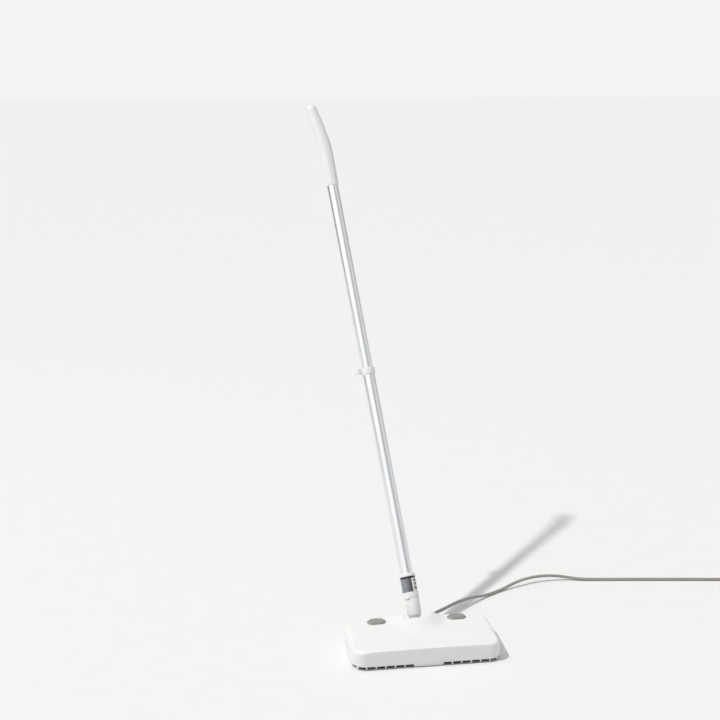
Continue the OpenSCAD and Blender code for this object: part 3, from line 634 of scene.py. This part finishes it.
def make_collar(material):
    collar = turned_profile("collar", [
        (11.5, 31), (13.9, 31), (13.9, SEAM_S), (16.8, SEAM_S), (16.9, LABEL_LOW), (16.3, LABEL_LOW),
        (16.3, LABEL_TOP), (16.9, LABEL_TOP), (17.25, 105.2), (17.25, 109), (16.2, COLLAR_TOP),
        (13.95, COLLAR_TOP), (13.95, SEAT_S), (11.5, SEAT_S)])
    carve(collar, [at_button(as_object("seat", block((3, 23.4, 12), (0, 0, 56))))], "UNION")
    carve(collar, [button_plate(0.12, 1.7)])
    return placed(bevelled(collar, 0.15), material, "pole", "white_pole_parts", "pole_collar")


def make_button(material):
    button = turned_profile("button", [(16, 54), (17.3, 54), (17.3, 67), (16, 67)], 0.1)
    carve(button, [button_plate(0)], "INTERSECT")
    bevelled(button, 0.4, 3)
    catch = at_button(as_object("catch", block((3.7, 9, 6), (14.35, 0, 60))))
    carve(button, [catch], "UNION")
    return placed(button, material, "button", "white_pole_parts", "release_button")


def make_label(material):
    label = turned_profile("label", [(16.35, 69.1), (16.75, 69.1), (16.75, 103.9), (16.35, 103.9)], 0.1)
    return placed(label, material, "pole", "label_print", "label_band")


# ---- tubes and clip, in the pole's frame ----

CLIP_S, LEVER_X, LEVER_S = 572.0, -19.2, 575.3
UPPER_LOW, UPPER_TOP = 486.0, 1088.0
SCREW_S = (1045.0, 1075.0)
LEVER_HALF, LEVER_BORE = 4.9, 1.55


def make_tubes(material):
    lower = turned_profile("tube_lower", [
        (LOWER_R - TUBE_WALL, SEAT_S), (LOWER_R, SEAT_S), (LOWER_R, CLIP_S - 0.3),
        (LOWER_R - TUBE_WALL, CLIP_S - 0.3)], 0.2)
    placed(lower, material, "pole", "tube_aluminium", "lower_tube")
    upper = turned_profile("tube_upper", [
        (UPPER_R - TUBE_WALL, UPPER_LOW), (UPPER_R, UPPER_LOW), (UPPER_R, UPPER_TOP),
        (UPPER_R - TUBE_WALL, UPPER_TOP)], 0.2)
    bores = [moved(as_object("bore", across(rod(1.6, -4, 4, 20), "Y")), 0, UPPER_R, s) for s in SCREW_S]
    placed(carve(upper, bores), material, "upper_pole", "tube_aluminium", "upper_tube")


def make_clip(material):
    low, high = CLIP_S - 8, CLIP_S + 8
    clip = turned_profile("clip", [
        (LOWER_R + 0.05, low), (15.3, low), (15.9, low + 1), (15.9, high - 1), (15.3, high),
        (UPPER_R + 0.05, high), (UPPER_R + 0.05, CLIP_S), (LOWER_R + 0.05, CLIP_S)], 0.5)
    nose = soft([(-12.6, -4.4), (-22.4, -4.4), (-22.4, 4.4), (-12.6, 4.4)], 3.4, 5)
    ears = [as_object("ear", loft([[(x, y, z + LEVER_S) for x, z in nose] for y in (a, b)]))
            for a, b in ((-8, -5.2), (5.2, 8))]
    carve(clip, ears, "UNION")
    room = moved(as_object("room", across(rod(3.6, -5.2, 5.2, 32), "Y")), LEVER_X, 0, LEVER_S)
    bore = moved(as_object("bore", across(rod(LEVER_BORE, -20, 20, 24), "Y")), LEVER_X, 0, LEVER_S)
    carve(clip, [room, bore])
    return placed(bevelled(clip, 0.4), material, "pole", "white_pole_parts", "clip_collar")


def make_lever(material):
    """Clip lever: a boss on its pin, and a blade that bends down into a thumb tab."""
    blade = soft([(LEVER_X, 6.4), (-24.8, 5), (-28.2, 1), (-29, -3.6), (-27.4, -3.8), (-24.9, -0.4),
                  (LEVER_X, 0.2)], 1.6, 4)
    lever = as_object("lever", loft([[(x, y, z + CLIP_S) for x, z in blade]
                                       for y in (-LEVER_HALF, LEVER_HALF)]))
    boss = moved(as_object("boss", across(rod(3.2, -LEVER_HALF, LEVER_HALF, 32), "Y")), LEVER_X, 0, LEVER_S)
    carve(lever, [boss], "UNION")
    carve(lever, [moved(as_object("bore", across(rod(LEVER_BORE, -9, 9, 24), "Y")), LEVER_X, 0, LEVER_S)])
    return placed(bevelled(lever, 0.5, 3), material, "lever", "white_pole_parts", "clip_lever")


# ---- handle, in the pole's frame ----

HANDLE_LOW, BEND_S, BEND, TOP_LEN = 1028.0, 1127.0, math.radians(9), 113.0
BEND_REACH = 26.0        # half the length of the bend
GRIP_WALL, GRIP_TIP_R = 2.2, 13.5
SCREW_SEAT = 13.8


def grip_radius(along, inset=0.0):
    """Radius of the handle at a distance along it from its lower end."""
    lower = BEND_S - HANDLE_LOW
    if along < lower:
        return 14.6 + 1.5 * math.sin(math.pi / 2 * along / lower) - inset
    past = (along - lower) / TOP_LEN
    return 16.1 - 2.6 * (1 - math.cos(math.pi / 2 * min(1, past))) - inset


def grip_place(along):
    """Point and direction of the handle's middle line, which bends in a smooth arc."""
    s = along - (BEND_S - HANDLE_LOW)
    t = max(-1.0, min(1.0, s / BEND_REACH))
    angle = BEND * (t + 1) / 2
    radius = BEND_REACH / math.tan(BEND / 2)
    x, z = -radius * (1 - math.cos(angle)), radius * math.sin(angle)
    rest = max(0.0, s - BEND_REACH)
    before = min(0.0, s + BEND_REACH)
    x, z = x - rest * math.sin(angle), z + before + rest * math.cos(angle)
    return Vector((x, 0, BEND_S - BEND_REACH + z)), angle


def grip_ring(along, radius, sides=72):
    middle, angle = grip_place(along)
    out = Vector((math.cos(angle), 0, math.sin(angle)))
    turns = (math.tau * (k + 0.5) / sides for k in range(sides))
    return [middle + radius * (math.cos(a) * out + math.sin(a) * Vector((0, 1, 0))) for a in turns]


def grip_skin(inset, low, name):
    """The handle's outside, or its hollow inside, up to the round tip."""
    full = BEND_S - HANDLE_LOW + TOP_LEN - inset
    tip = GRIP_TIP_R - inset
    stations = [low + (full - tip - low) * k / 44 for k in range(45)]
    rings = [grip_ring(s, grip_radius(s, inset)) for s in stations]
    for q in (15, 30, 45, 58, 69, 78, 85):
        a = math.radians(q)
        rings.append(grip_ring(full - tip + tip * math.sin(a), grip_radius(full - tip, inset) * math.cos(a)))
    return as_object(name, loft(rings), sharp=60)


def make_handle(material):
    """Front and rear halves of the handle, hollow past the end of the tube."""
    for name, keep in (("grip_front", -1), ("grip_rear", 1)):
        half = grip_skin(0, 0.0, name)
        cutters = [as_object("tube", rod(UPPER_R + 0.05, 1000, UPPER_TOP + 3, 64)),
                   grip_skin(GRIP_WALL, 62.0, "hollow"),
                   as_object("other_half", block((300, 200, 500), (0, -keep * 100, 1150)))]
        if keep > 0:
            for s in SCREW_S:
                for radius, near in ((1.6, 5), (2.8, SCREW_SEAT)):
                    well = as_object("well", across(rod(radius, -40, -near, 28), "Y"))
                    cutters.append(moved(well, 0, 0, s))
        carve(half, cutters, sharp=45)
        placed(bevelled(half, 0.25), material, "upper_pole", "white_pole_parts", "handle_" + name[5:])


def make_handle_screws(material):
    """Pan-head screws with a cross recess, in the rear half of the handle."""
    screws = []
    for s in SCREW_S:
        screw = as_object("handle_screw_%d" % s, lathe(soft([
            (0, -0.9), (1.4, -0.9), (2.6, -0.35), (2.6, 0), (1.45, 0), (1.45, 3.4), (0, 3.4)], 0.25), 32))
        cross = [as_object("cross", block((3.2, 0.6, 1.2), (0, 0, -0.9))),
                 as_object("cross", block((0.6, 3.2, 1.2), (0, 0, -0.9)))]
        carve(screw, cross)
        turned(screw, 90, "X")
        screws.append(moved(screw, 0, SCREW_SEAT, s))
    carve(screws[0], screws[1:], "UNION")
    screws[0].name = "grip_screws"
    return placed(screws[0], material, "upper_pole", "steel", "handle_screws")


# ---- lead ----

LEAD_D = 7.0
ROUTE = [
    (44, 106.6, 22), (44.7, 112, 22.2), (46.5, 117.5, 22.3), (51, 125, 22.3),
    (59, 134, 22.2), (70, 143, 22), (81.4, 153, 21.6), (93, 164, 20.9),
    (105, 175, 20.3), (116, 184.6, 19.8), (127, 193.5, 19.2), (138, 202, 18.2),
    (150, 211.5, 16.2), (161.5, 221, 13.5), (173, 229.5, 10.8), (184.3, 237.6, 8.2),
    (195.7, 245, 6.1), (207, 252.6, 4.8), (218.6, 260.3, 4), (230, 268, 3.7),
    (241.6, 275, 4.1), (252.7, 280.8, 5.5), (261, 285, 7.2), (269.4, 289, 9),
    (286, 296.8, 12), (302.5, 303.8, 13.6), (319, 310, 14.1), (335, 315, 14.2),
    (351, 318, 14), (366, 319.2, 13.5), (381, 319.6, 12.4), (396, 319.6, 10.5),
    (411, 318.2, 8.2), (425, 315.4, 6.1), (439, 312, 4.6), (453, 308.6, 3.9),
    (467, 305.8, 3.6), (496, 301.2, 3.5), (553, 293, 3.5), (610, 284, 3.5),
    (667, 275, 3.5), (724, 266, 3.5), (779, 257, 3.5), (805, 253, 3.5),
    (830, 250.5, 3.5), (850, 250, 3.5),
]
TAIL = [(923.5, 179, 24.5), (923.5, 168, 23.3), (923.5, 158, 20.8), (923.5, 149, 18.6), (923.5, 142, 18)]
COIL_MIDDLE = 43.0
COIL_RINGS = 5
COIL_LAYERS = 4
COIL_AT = Vector((870, 193, 0))
COIL_TURNS = 16.25
CLIMB = 0.35             # share of a turn in which the lead climbs to the next layer
TIE_TURN = 0.75          # place of the tie, in turns from the rear
TIE_REACH = 0.12


def coil_point(turn):
    """Place on the coil: each layer winds in or out by one diameter a turn, then climbs to the next."""
    layer, part = divmod(turn, COIL_RINGS - 1 + CLIMB)
    wound = min(part, COIL_RINGS - 1)
    if layer % 2:
        wound = COIL_RINGS - 1 - wound
    out = (COIL_RINGS - 1) / 2 - wound
    up = layer + ease((part - COIL_RINGS + 1) / CLIMB) - (COIL_LAYERS - 1) / 2
    away = abs((turn - TIE_TURN + 0.5) % 1 - 0.5) / TIE_REACH
    pinch = LEAD_D * (1 - 0.05 * (1 - ease((away - 0.4) / 0.6)))
    radius, height = COIL_MIDDLE + out * pinch, LEAD_D * COIL_LAYERS / 2 + up * pinch
    a = math.tau * turn
    return COIL_AT + Vector((radius * math.sin(a), radius * math.cos(a), height))


def lead_points():
    turns = [k / 16 for k in range(int(COIL_TURNS * 16) + 1)]
    return [Vector(p) for p in ROUTE] + [coil_point(t) for t in turns] + [Vector(p) for p in TAIL]


def make_lead(material):
    """The whole lead as one smooth curve, from the strain relief to the plug."""
    points = lead_points()
    curve = bpy.data.curves.new("lead", "CURVE")
    curve.dimensions = "3D"
    curve.bevel_depth = LEAD_D / 2 * MM
    curve.bevel_resolution = 5
    curve.resolution_u = 5
    curve.use_fill_caps = True
    line = curve.splines.new("BEZIER")
    line.bezier_points.add(len(points) - 1)
    for knot, p in zip(line.bezier_points, points):
        knot.co = p * MM
        knot.handle_left_type = knot.handle_right_type = "AUTO"
    lead = bpy.data.objects.new("lead", curve)
    bpy.context.scene.collection.objects.link(lead)
    length = sum((b - a).length for a, b in zip(points, points[1:])) * MM
    dress(lead, material, "head", "lead_grey", "lead_tube", "lead_coil")
    return lead, length


# ---- pad ----

PAD_INSET, PAD_TOP = 9.0, 5.3
SEAMS = (-46.7, -23.3, 0, 23.3, 46.7)
CLOTH_FRAMES = 12
HEM_OUT, HEM_HALF, HEM_Z = 0.9, 2.1, 2.5


def cloth_pad(pad):
    """Blows the pad up a little as cloth, so that it bulges between its edges."""
    remesh = pad.modifiers.new("remesh", "REMESH")
    remesh.mode, remesh.voxel_size = "VOXEL", 0.0045
    cloth = pad.modifiers.new("cloth", "CLOTH")
    settings = cloth.settings
    settings.quality, settings.mass = 5, 0.2
    settings.tension_stiffness = settings.compression_stiffness = 20
    settings.bending_stiffness = 0.4
    settings.use_pressure, settings.uniform_pressure_force = True, 3.0
    settings.effector_weights.gravity = 0
    cloth.point_cache.frame_start, cloth.point_cache.frame_end = 1, CLOTH_FRAMES
    for number in range(1, CLOTH_FRAMES + 1):
        bpy.context.scene.frame_set(number)
    done = pad.evaluated_get(bpy.context.evaluated_depsgraph_get())
    blown = bpy.data.meshes.new_from_object(done)
    pad.modifiers.clear()
    pad.data = blown


def quilted(x, y, z):
    """A point of the blown pad pressed between floor and sole, with sewn channels along it."""
    outline = max(abs(x) - (HALF_W - PAD_INSET), abs(y) - (HALF_D - PAD_INSET))
    edge = ease(-outline / 7)
    seam = min(abs(y - s) for s in SEAMS)
    loose = 0.35 + 0.65 * min(1, edge) * ease(seam / 5)
    middle = PAD_TOP / 2
    return Vector((x, y, middle + max(-middle, min(middle, z - middle)) * (0.45 + 0.55 * loose)))


def make_hem(fabric):
    """A rolled hem round the edge of the pad, a little uneven along its length."""
    plan = head_outline(PAD_INSET + HEM_OUT, 40, 20, 10)
    around = [math.tau * k / 14 for k in range(14)]
    rings = []
    for i, (x, y) in enumerate(plan):
        ahead = Vector(plan[(i + 1) % len(plan)]) - Vector(plan[i - 1])
        out = HEM_OUT * (Vector((ahead.y, -ahead.x)).normalized() if ahead.length else Vector((1, 0)))
        up = HEM_HALF + 0.05 * math.sin(i * 2.1)
        rings.append([(x + out.x * math.cos(a), y + out.y * math.cos(a), HEM_Z + up * math.sin(a))
                      for a in around])
    hem = as_object("pad_hem", loft(rings + rings[:1], caps=False), sharp=80)
    return dress(hem, fabric, "head", "pad_fabric", "mop_pad")


def make_pad(fabric, hem_fabric):
    """Quilted pad: a flat slab that cloth pressure rounds off, with a hem round it."""
    bm = prism(head_outline(PAD_INSET + 0.6, 40, 20, 10), 0.4, PAD_TOP - 0.4)
    pad = as_object("pad", bm)
    cloth_pad(pad)
    inner = HALF_W - PAD_INSET - 0.3, HALF_D - PAD_INSET - 0.3
    for vertex in pad.data.vertices:
        x, y, z = vertex.co / MM
        x, y = max(-inner[0], min(inner[0], x)), max(-inner[1], min(inner[1], y))
        vertex.co = quilted(x, y, z) * MM
    level = pad.modifiers.new("smooth", "SUBSURF")
    level.levels = level.render_levels = 1
    pad.data.shade_smooth()
    dress(pad, fabric, "head", "pad_fabric", "mop_pad")
    hem = make_hem(hem_fabric)


# ---- strain relief, tie and plug ----

TIE_STEPS, TIE_SPAN, TIE_THICK = 10, 0.036, 0.7

def ribbed(low, high, r_low, r_high, ribs, depth=0.7, bore=3.5):
    """Outline of a tapered sleeve with round ribs, as (radius, height)."""
    outline = [(bore, low), (r_low, low)]
    pitch = (high - low) / ribs
    for k in range(ribs):
        for t, drop in ((0.12, 0), (0.62, 0), (0.74, 1), (0.94, 1)):
            z = low + (k + t) * pitch
            r = r_low + (r_high - r_low) * (z - low) / (high - low)
            outline.append((r - drop * depth, z))
    return outline + [(r_high, high - 0.3), (bore, high)]


def make_strain_relief(material):
    """Ribbed sleeve that grips the lead, with a flange and a neck that hold it in the rear wall."""
    relief = as_object("relief", lathe(soft(
        [(3.45, -0.4), (8, -0.4), (8, 2), (6.2, 2), (6.2, 4.4), (3.45, 4.4)], 0.3), 64), sharp=50)
    sleeve = as_object("sleeve", lathe(soft(ribbed(4, 30.4, 6.2, 4.4, 7, bore=3.45), 0.35), 64), sharp=50)
    carve(relief, [sleeve], "UNION", sharp=50)
    turned(relief, -90, "X")
    moved(relief, EXIT_X, 75.4, EXIT_Z)
    return dress(relief, material, "head", "lead_grey", "strain_relief")


def tie_ring(angle, grow):
    """Section of the strap round the bundle, at a turn of the coil."""
    half_r, half_z = 16.9 + grow, 13.27 + grow
    corners = [(COIL_MIDDLE + x * half_r, 14 + z * half_z) for x, z in ((1, -1), (1, 1), (-1, 1), (-1, -1))]
    outline = soft(corners, 4.5, 6)
    return [Vector((COIL_AT.x + r * math.sin(angle), COIL_AT.y + r * math.cos(angle), z)) for r, z in outline]


def make_tie(material):
    """Strap round the coil: an inner and an outer skin, joined along both edges."""
    bm = bmesh.new()
    skins, backs = [], []
    for k in range(TIE_STEPS + 1):
        angle = math.tau * (TIE_TURN + TIE_SPAN * (k / TIE_STEPS - 0.5))
        round_off = 0.25 * abs(2 * k / TIE_STEPS - 1) ** 6
        skins.append([bm.verts.new(p) for p in tie_ring(angle, 0.0)])
        backs.append([bm.verts.new(p) for p in tie_ring(angle, TIE_THICK - round_off)])
    count = len(skins[0])
    for rows, way in ((skins, 1), (backs, -1)):
        for a, b in zip(rows, rows[1:]):
            for k in range(count):
                bm.faces.new((a[k - 1], a[k], b[k], b[k - 1])[::way])
    for end in (0, -1):
        for k in range(count):
            bm.faces.new((skins[end][k - 1], skins[end][k], backs[end][k], backs[end][k - 1]))
    return dress(as_object("tie", bm, sharp=50), material, "head", "tie_fabric", "lead_tie")


PLUG_AT = (923.5, 142.0, 18.0)
PIN_OUT, GROOVES = 9.5, 18


def make_plug(body_material, pin_material):
    """Round two-pin plug with a ribbed boot, finger grooves and a sunk face."""
    boot = as_object("plug", lathe(soft(ribbed(0, 13, 4.3, 6.2, 4, 0.6, bore=3.3), 0.3), 64), sharp=50)
    body = as_object("plug_shell", lathe(soft([
        (0, 11), (8.2, 11), (9.6, 12.5), (12.2, 16), (14.2, 20), (16.4, 22.6), (17.5, 25.5), (17.5, 36.4),
        (16.4, 38), (14.6, 38), (14.2, 37.2), (0, 37.2)], 1.2), 96), sharp=40)
    grooves = []
    for k in (k for k in range(GROOVES) if k % (GROOVES // 2) not in (0, GROOVES // 2 - 1)):
        groove = moved(as_object("groove", rod(1.1, 24.5, 35, 20)), 18.2, 0, 0)
        grooves.append(turned(groove, 360 / GROOVES * (k + 0.5), "Z"))
    carve(body, grooves, sharp=40)
    carve(boot, [bevelled(body, 0.01)], "UNION", sharp=40)
    turned(boot, 90, "X")
    moved(boot, *PLUG_AT)
    dress(boot, body_material, "head", "plug_grey", "plug_body")
    shape = soft([(0, 36.5), (2.4, 36.5), (2.4, 55.6), (1.5, 57), (0, 57)], 0.5)
    pins = [moved(as_object("pin", lathe(shape, 40)), x, 0, 0) for x in (-PIN_OUT, PIN_OUT)]
    carve(pins[0], pins[1:], "UNION")
    pins[0].name = "plug_contacts"
    turned(pins[0], 90, "X")
    moved(pins[0], *PLUG_AT)
    dress(pins[0], pin_material, "head", "pin_brass", "plug_pins")
    return boot, pins[0]


# ---- materials of the piece ----

def make_tube_metal():
    """Drawn aluminium tube: fine lines along it, which blur what it mirrors sideways."""
    material, tree, shader, place = new_material("drawn_aluminium")
    lines = noise_at(tree, place, 900, 2.0, (1, 1, 0.004))
    clouds = noise_at(tree, place, 30, 3.0, (1, 1, 0.25))
    tree.links.new(shades(tree, spread(tree, clouds, 0, 1), (0.82, 0.825, 0.835), (0.88, 0.885, 0.89)),
                   shader.inputs["Base Color"])
    tree.links.new(spread(tree, lines, 0.2, 0.28), shader.inputs["Roughness"])
    tree.links.new(bumped(tree, lines, 0.12, 0.00002), shader.inputs["Normal"])
    shader.inputs["Metallic"].default_value = 1.0
    return material


def stepped(tree, value, stops):
    """Grey levels that jump from one to the next at each place along the value."""
    made = add(tree, "ShaderNodeValToRGB")
    ramp = made.color_ramp
    ramp.interpolation = "CONSTANT"
    ramp.elements[1].position = 1.0
    for place, _ in stops[1:-1]:
        ramp.elements.new(place)
    for element, (place, grey) in zip(ramp.elements, stops):
        element.position, element.color = place, (grey, grey, grey, 1)
    tree.links.new(value, made.inputs["Fac"])
    return made.outputs["Color"]


def product(tree, a, b):
    made = add(tree, "ShaderNodeMath", operation="MULTIPLY")
    tree.links.new(a, made.inputs[0])
    tree.links.new(b, made.inputs[1])
    return made.outputs[0]


def blended(tree, share, under, over):
    """One colour laid over another by a share."""
    made = add(tree, "ShaderNodeMix", data_type="RGBA")
    tree.links.new(share, made.inputs["Factor"])
    tree.links.new(under, made.inputs["A"])
    tree.links.new(over, made.inputs["B"])
    return made.outputs["Result"]


def make_label_print():
    """A plain printed band: a dark line round the top, a speckled panel and a narrow speckled column."""
    material, tree, shader, place = new_material("printed_label")
    turn = add(tree, "ShaderNodeMapping", Rotation=(0, 0, math.radians(-259.4)))
    tree.links.new(place, turn.inputs["Vector"])
    round_it = tree.nodes.new("ShaderNodeTexGradient")
    round_it.gradient_type = "RADIAL"
    tree.links.new(turn.outputs["Vector"], round_it.inputs["Vector"])
    split = tree.nodes.new("ShaderNodeSeparateXYZ")
    tree.links.new(place, split.inputs["Vector"])
    height = spread(tree, split.outputs["Z"], 0, 1, (0.069, 0.104))
    top = stepped(tree, height, ((0, 0), (0.86, 1), (0.992, 0), (1, 0)))
    panel = product(tree, stepped(tree, round_it.outputs["Fac"], ((0, 0), (0.2, 1), (0.573, 0), (1, 0))),
                    stepped(tree, height, ((0, 0), (0.035, 1), (0.86, 0), (1, 0))))
    column = product(tree, stepped(tree, round_it.outputs["Fac"], ((0, 0), (0.613, 1), (0.7, 0), (1, 0))),
                     stepped(tree, height, ((0, 0), (0.14, 1), (0.34, 0), (0.42, 1), (0.56, 0), (0.64, 1),
                                            (0.8, 0), (1, 0))))
    fleck = noise_at(tree, place, 850, 2.0)
    paper = shades(tree, noise_at(tree, place, 60), (0.86, 0.86, 0.855), (0.9, 0.9, 0.895))
    speckle = shades(tree, spread(tree, fleck, 0, 1, (0.38, 0.62)), (0.05, 0.055, 0.07), (0.46, 0.48, 0.52))
    ink = shades(tree, fleck, (0.01, 0.01, 0.014), (0.09, 0.09, 0.1))
    speckle = blended(tree, spread(tree, round_it.outputs["Fac"], 0, 0.95, (0.43, 0.555)), speckle, ink)
    marks = shades(tree, spread(tree, fleck, 0, 1, (0.4, 0.6)), (0.05, 0.035, 0.04), (0.55, 0.45, 0.44))
    black = shades(tree, fleck, (0.006, 0.006, 0.008), (0.02, 0.02, 0.022))
    colour = blended(tree, panel, paper, speckle)
    colour = blended(tree, column, colour, marks)
    colour = blended(tree, top, colour, black)
    tree.links.new(colour, shader.inputs["Base Color"])
    tree.links.new(spread(tree, fleck, 0.32, 0.42), shader.inputs["Roughness"])
    return material


def make_pile(name, colour, scale=2600, stretch=(1, 1, 1), depth=0.0006):
    """Short pile or woven fabric."""
    return textured(name, colour, 0.93, tint=0.22, tint_scale=700, grain=0.8, grain_scale=scale,
                    rough_swing=0.05, stretch=stretch, depth=depth, Sheen_Weight=0.25)


def make_materials():
    """One material for each of the record's slots."""
    return {
        "white_shell": textured("shell_plastic", (0.86, 0.858, 0.856), 0.34, tint=0.006, grain=0.05,
                                grain_scale=2200, Coat_Weight=0.15, Coat_Roughness=0.2),
        "white_pole_parts": textured("pole_plastic", (0.87, 0.868, 0.866), 0.36, tint=0.006, grain=0.05,
                                     grain_scale=2200),
        "chassis_white": textured("chassis_plastic", (0.82, 0.818, 0.815), 0.45, tint=0.01, grain=0.08),
        "sole_dark": textured("cast_sole", (0.07, 0.072, 0.078), 0.42, tint=0.1, grain=0.35,
                              grain_scale=900, Metallic=0.7),
        "pad_fabric": make_pile("microfibre", (0.062, 0.066, 0.072)),
        "hook_tape": make_pile("hooks", (0.02, 0.02, 0.022), 3200),
        "oval_grey": textured("grey_plastic", (0.29, 0.285, 0.275), 0.42, tint=0.03, grain=0.16,
                              grain_scale=1800),
        "seal_rubber": textured("silicone_seal", (0.08, 0.08, 0.085), 0.6, tint=0.06),
        "tank_clear": textured("tank_plastic", (0.72, 0.78, 0.8), 0.2, tint=0.01, grain=0.0,
                               Transmission_Weight=0.55, IOR=1.5),
        "cast_metal": textured("cast_block", (0.45, 0.455, 0.46), 0.45, tint=0.06, grain=0.5,
                               grain_scale=700, Metallic=1.0),
        "dark_plastic": textured("black_plastic", (0.02, 0.02, 0.022), 0.45, tint=0.1, grain=0.15),
        "hose_silicone": textured("hose", (0.7, 0.7, 0.68), 0.5, tint=0.02, Transmission_Weight=0.2),
        "ceramic": textured("glazed", (0.68, 0.64, 0.55), 0.22, tint=0.03, grain=0.04),
        "board_green": textured("board", (0.02, 0.12, 0.05), 0.4, tint=0.2, tint_scale=220, grain=0.1),
        "joint_plastic": textured("joint_plastic", (0.72, 0.718, 0.712), 0.42, tint=0.012, grain=0.1),
        "steel": textured("plated_steel", (0.6, 0.605, 0.61), 0.28, tint=0.05, grain=0.1, Metallic=1.0),
        "tube_aluminium": make_tube_metal(),
        "label_print": make_label_print(),
        "lead_grey": textured("lead_pvc", (0.33, 0.325, 0.31), 0.5, tint=0.05, grain=0.12),
        "tie_fabric": make_pile("woven_tie", (0.035, 0.036, 0.038), 1500, (1, 1, 3)),
        "plug_grey": textured("plug_pvc", (0.31, 0.305, 0.29), 0.48, tint=0.04, grain=0.14),
        "pin_brass": textured("nickel_pin", (0.66, 0.63, 0.56), 0.22, tint=0.03, grain=0.03, Metallic=1.0),
    }


def dress_frame(looks):
    """The CAD pieces that stay: better materials, and rounded edges where they can be seen."""
    for obj in frame["nodes"].values():
        for place in obj.material_slots:
            name = place.material.name.split(".")[0]
            if name in looks:
                place.material = looks[name]
    for name, width in (("chassis", 0.3), ("tilt_yoke", 0.8), ("joint_brackets", 0.6),
                        ("lean_pin", 0.3), ("lever_pin", 0.3), ("sole_plate", 0.4), ("pump", 0.5),
                        ("heater_block", 0.6), ("water_tank", 0.6), ("micro_switch", 0.4)):
        softened(name, width)


def main():
    make_camera()
    make_studio()
    looks = make_materials()
    dress_frame(looks)
    lead, length = make_lead(looks["lead_grey"])
    make_shell(looks["white_shell"])
    make_foot_switch(looks["oval_grey"])
    make_filler_cap(looks["oval_grey"])
    white = looks["white_pole_parts"]
    make_neck(white)
    make_collar(white)
    make_button(white)
    make_label(looks["label_print"])
    make_tubes(looks["tube_aluminium"])
    make_clip(white)
    make_lever(white)
    make_handle(white)
    make_handle_screws(looks["steel"])
    make_pad(looks["pad_fabric"], looks["tie_fabric"])
    relief = make_strain_relief(looks["lead_grey"])
    tie = make_tie(looks["tie_fabric"])
    plug, pins = make_plug(looks["plug_grey"], looks["pin_brass"])


main()
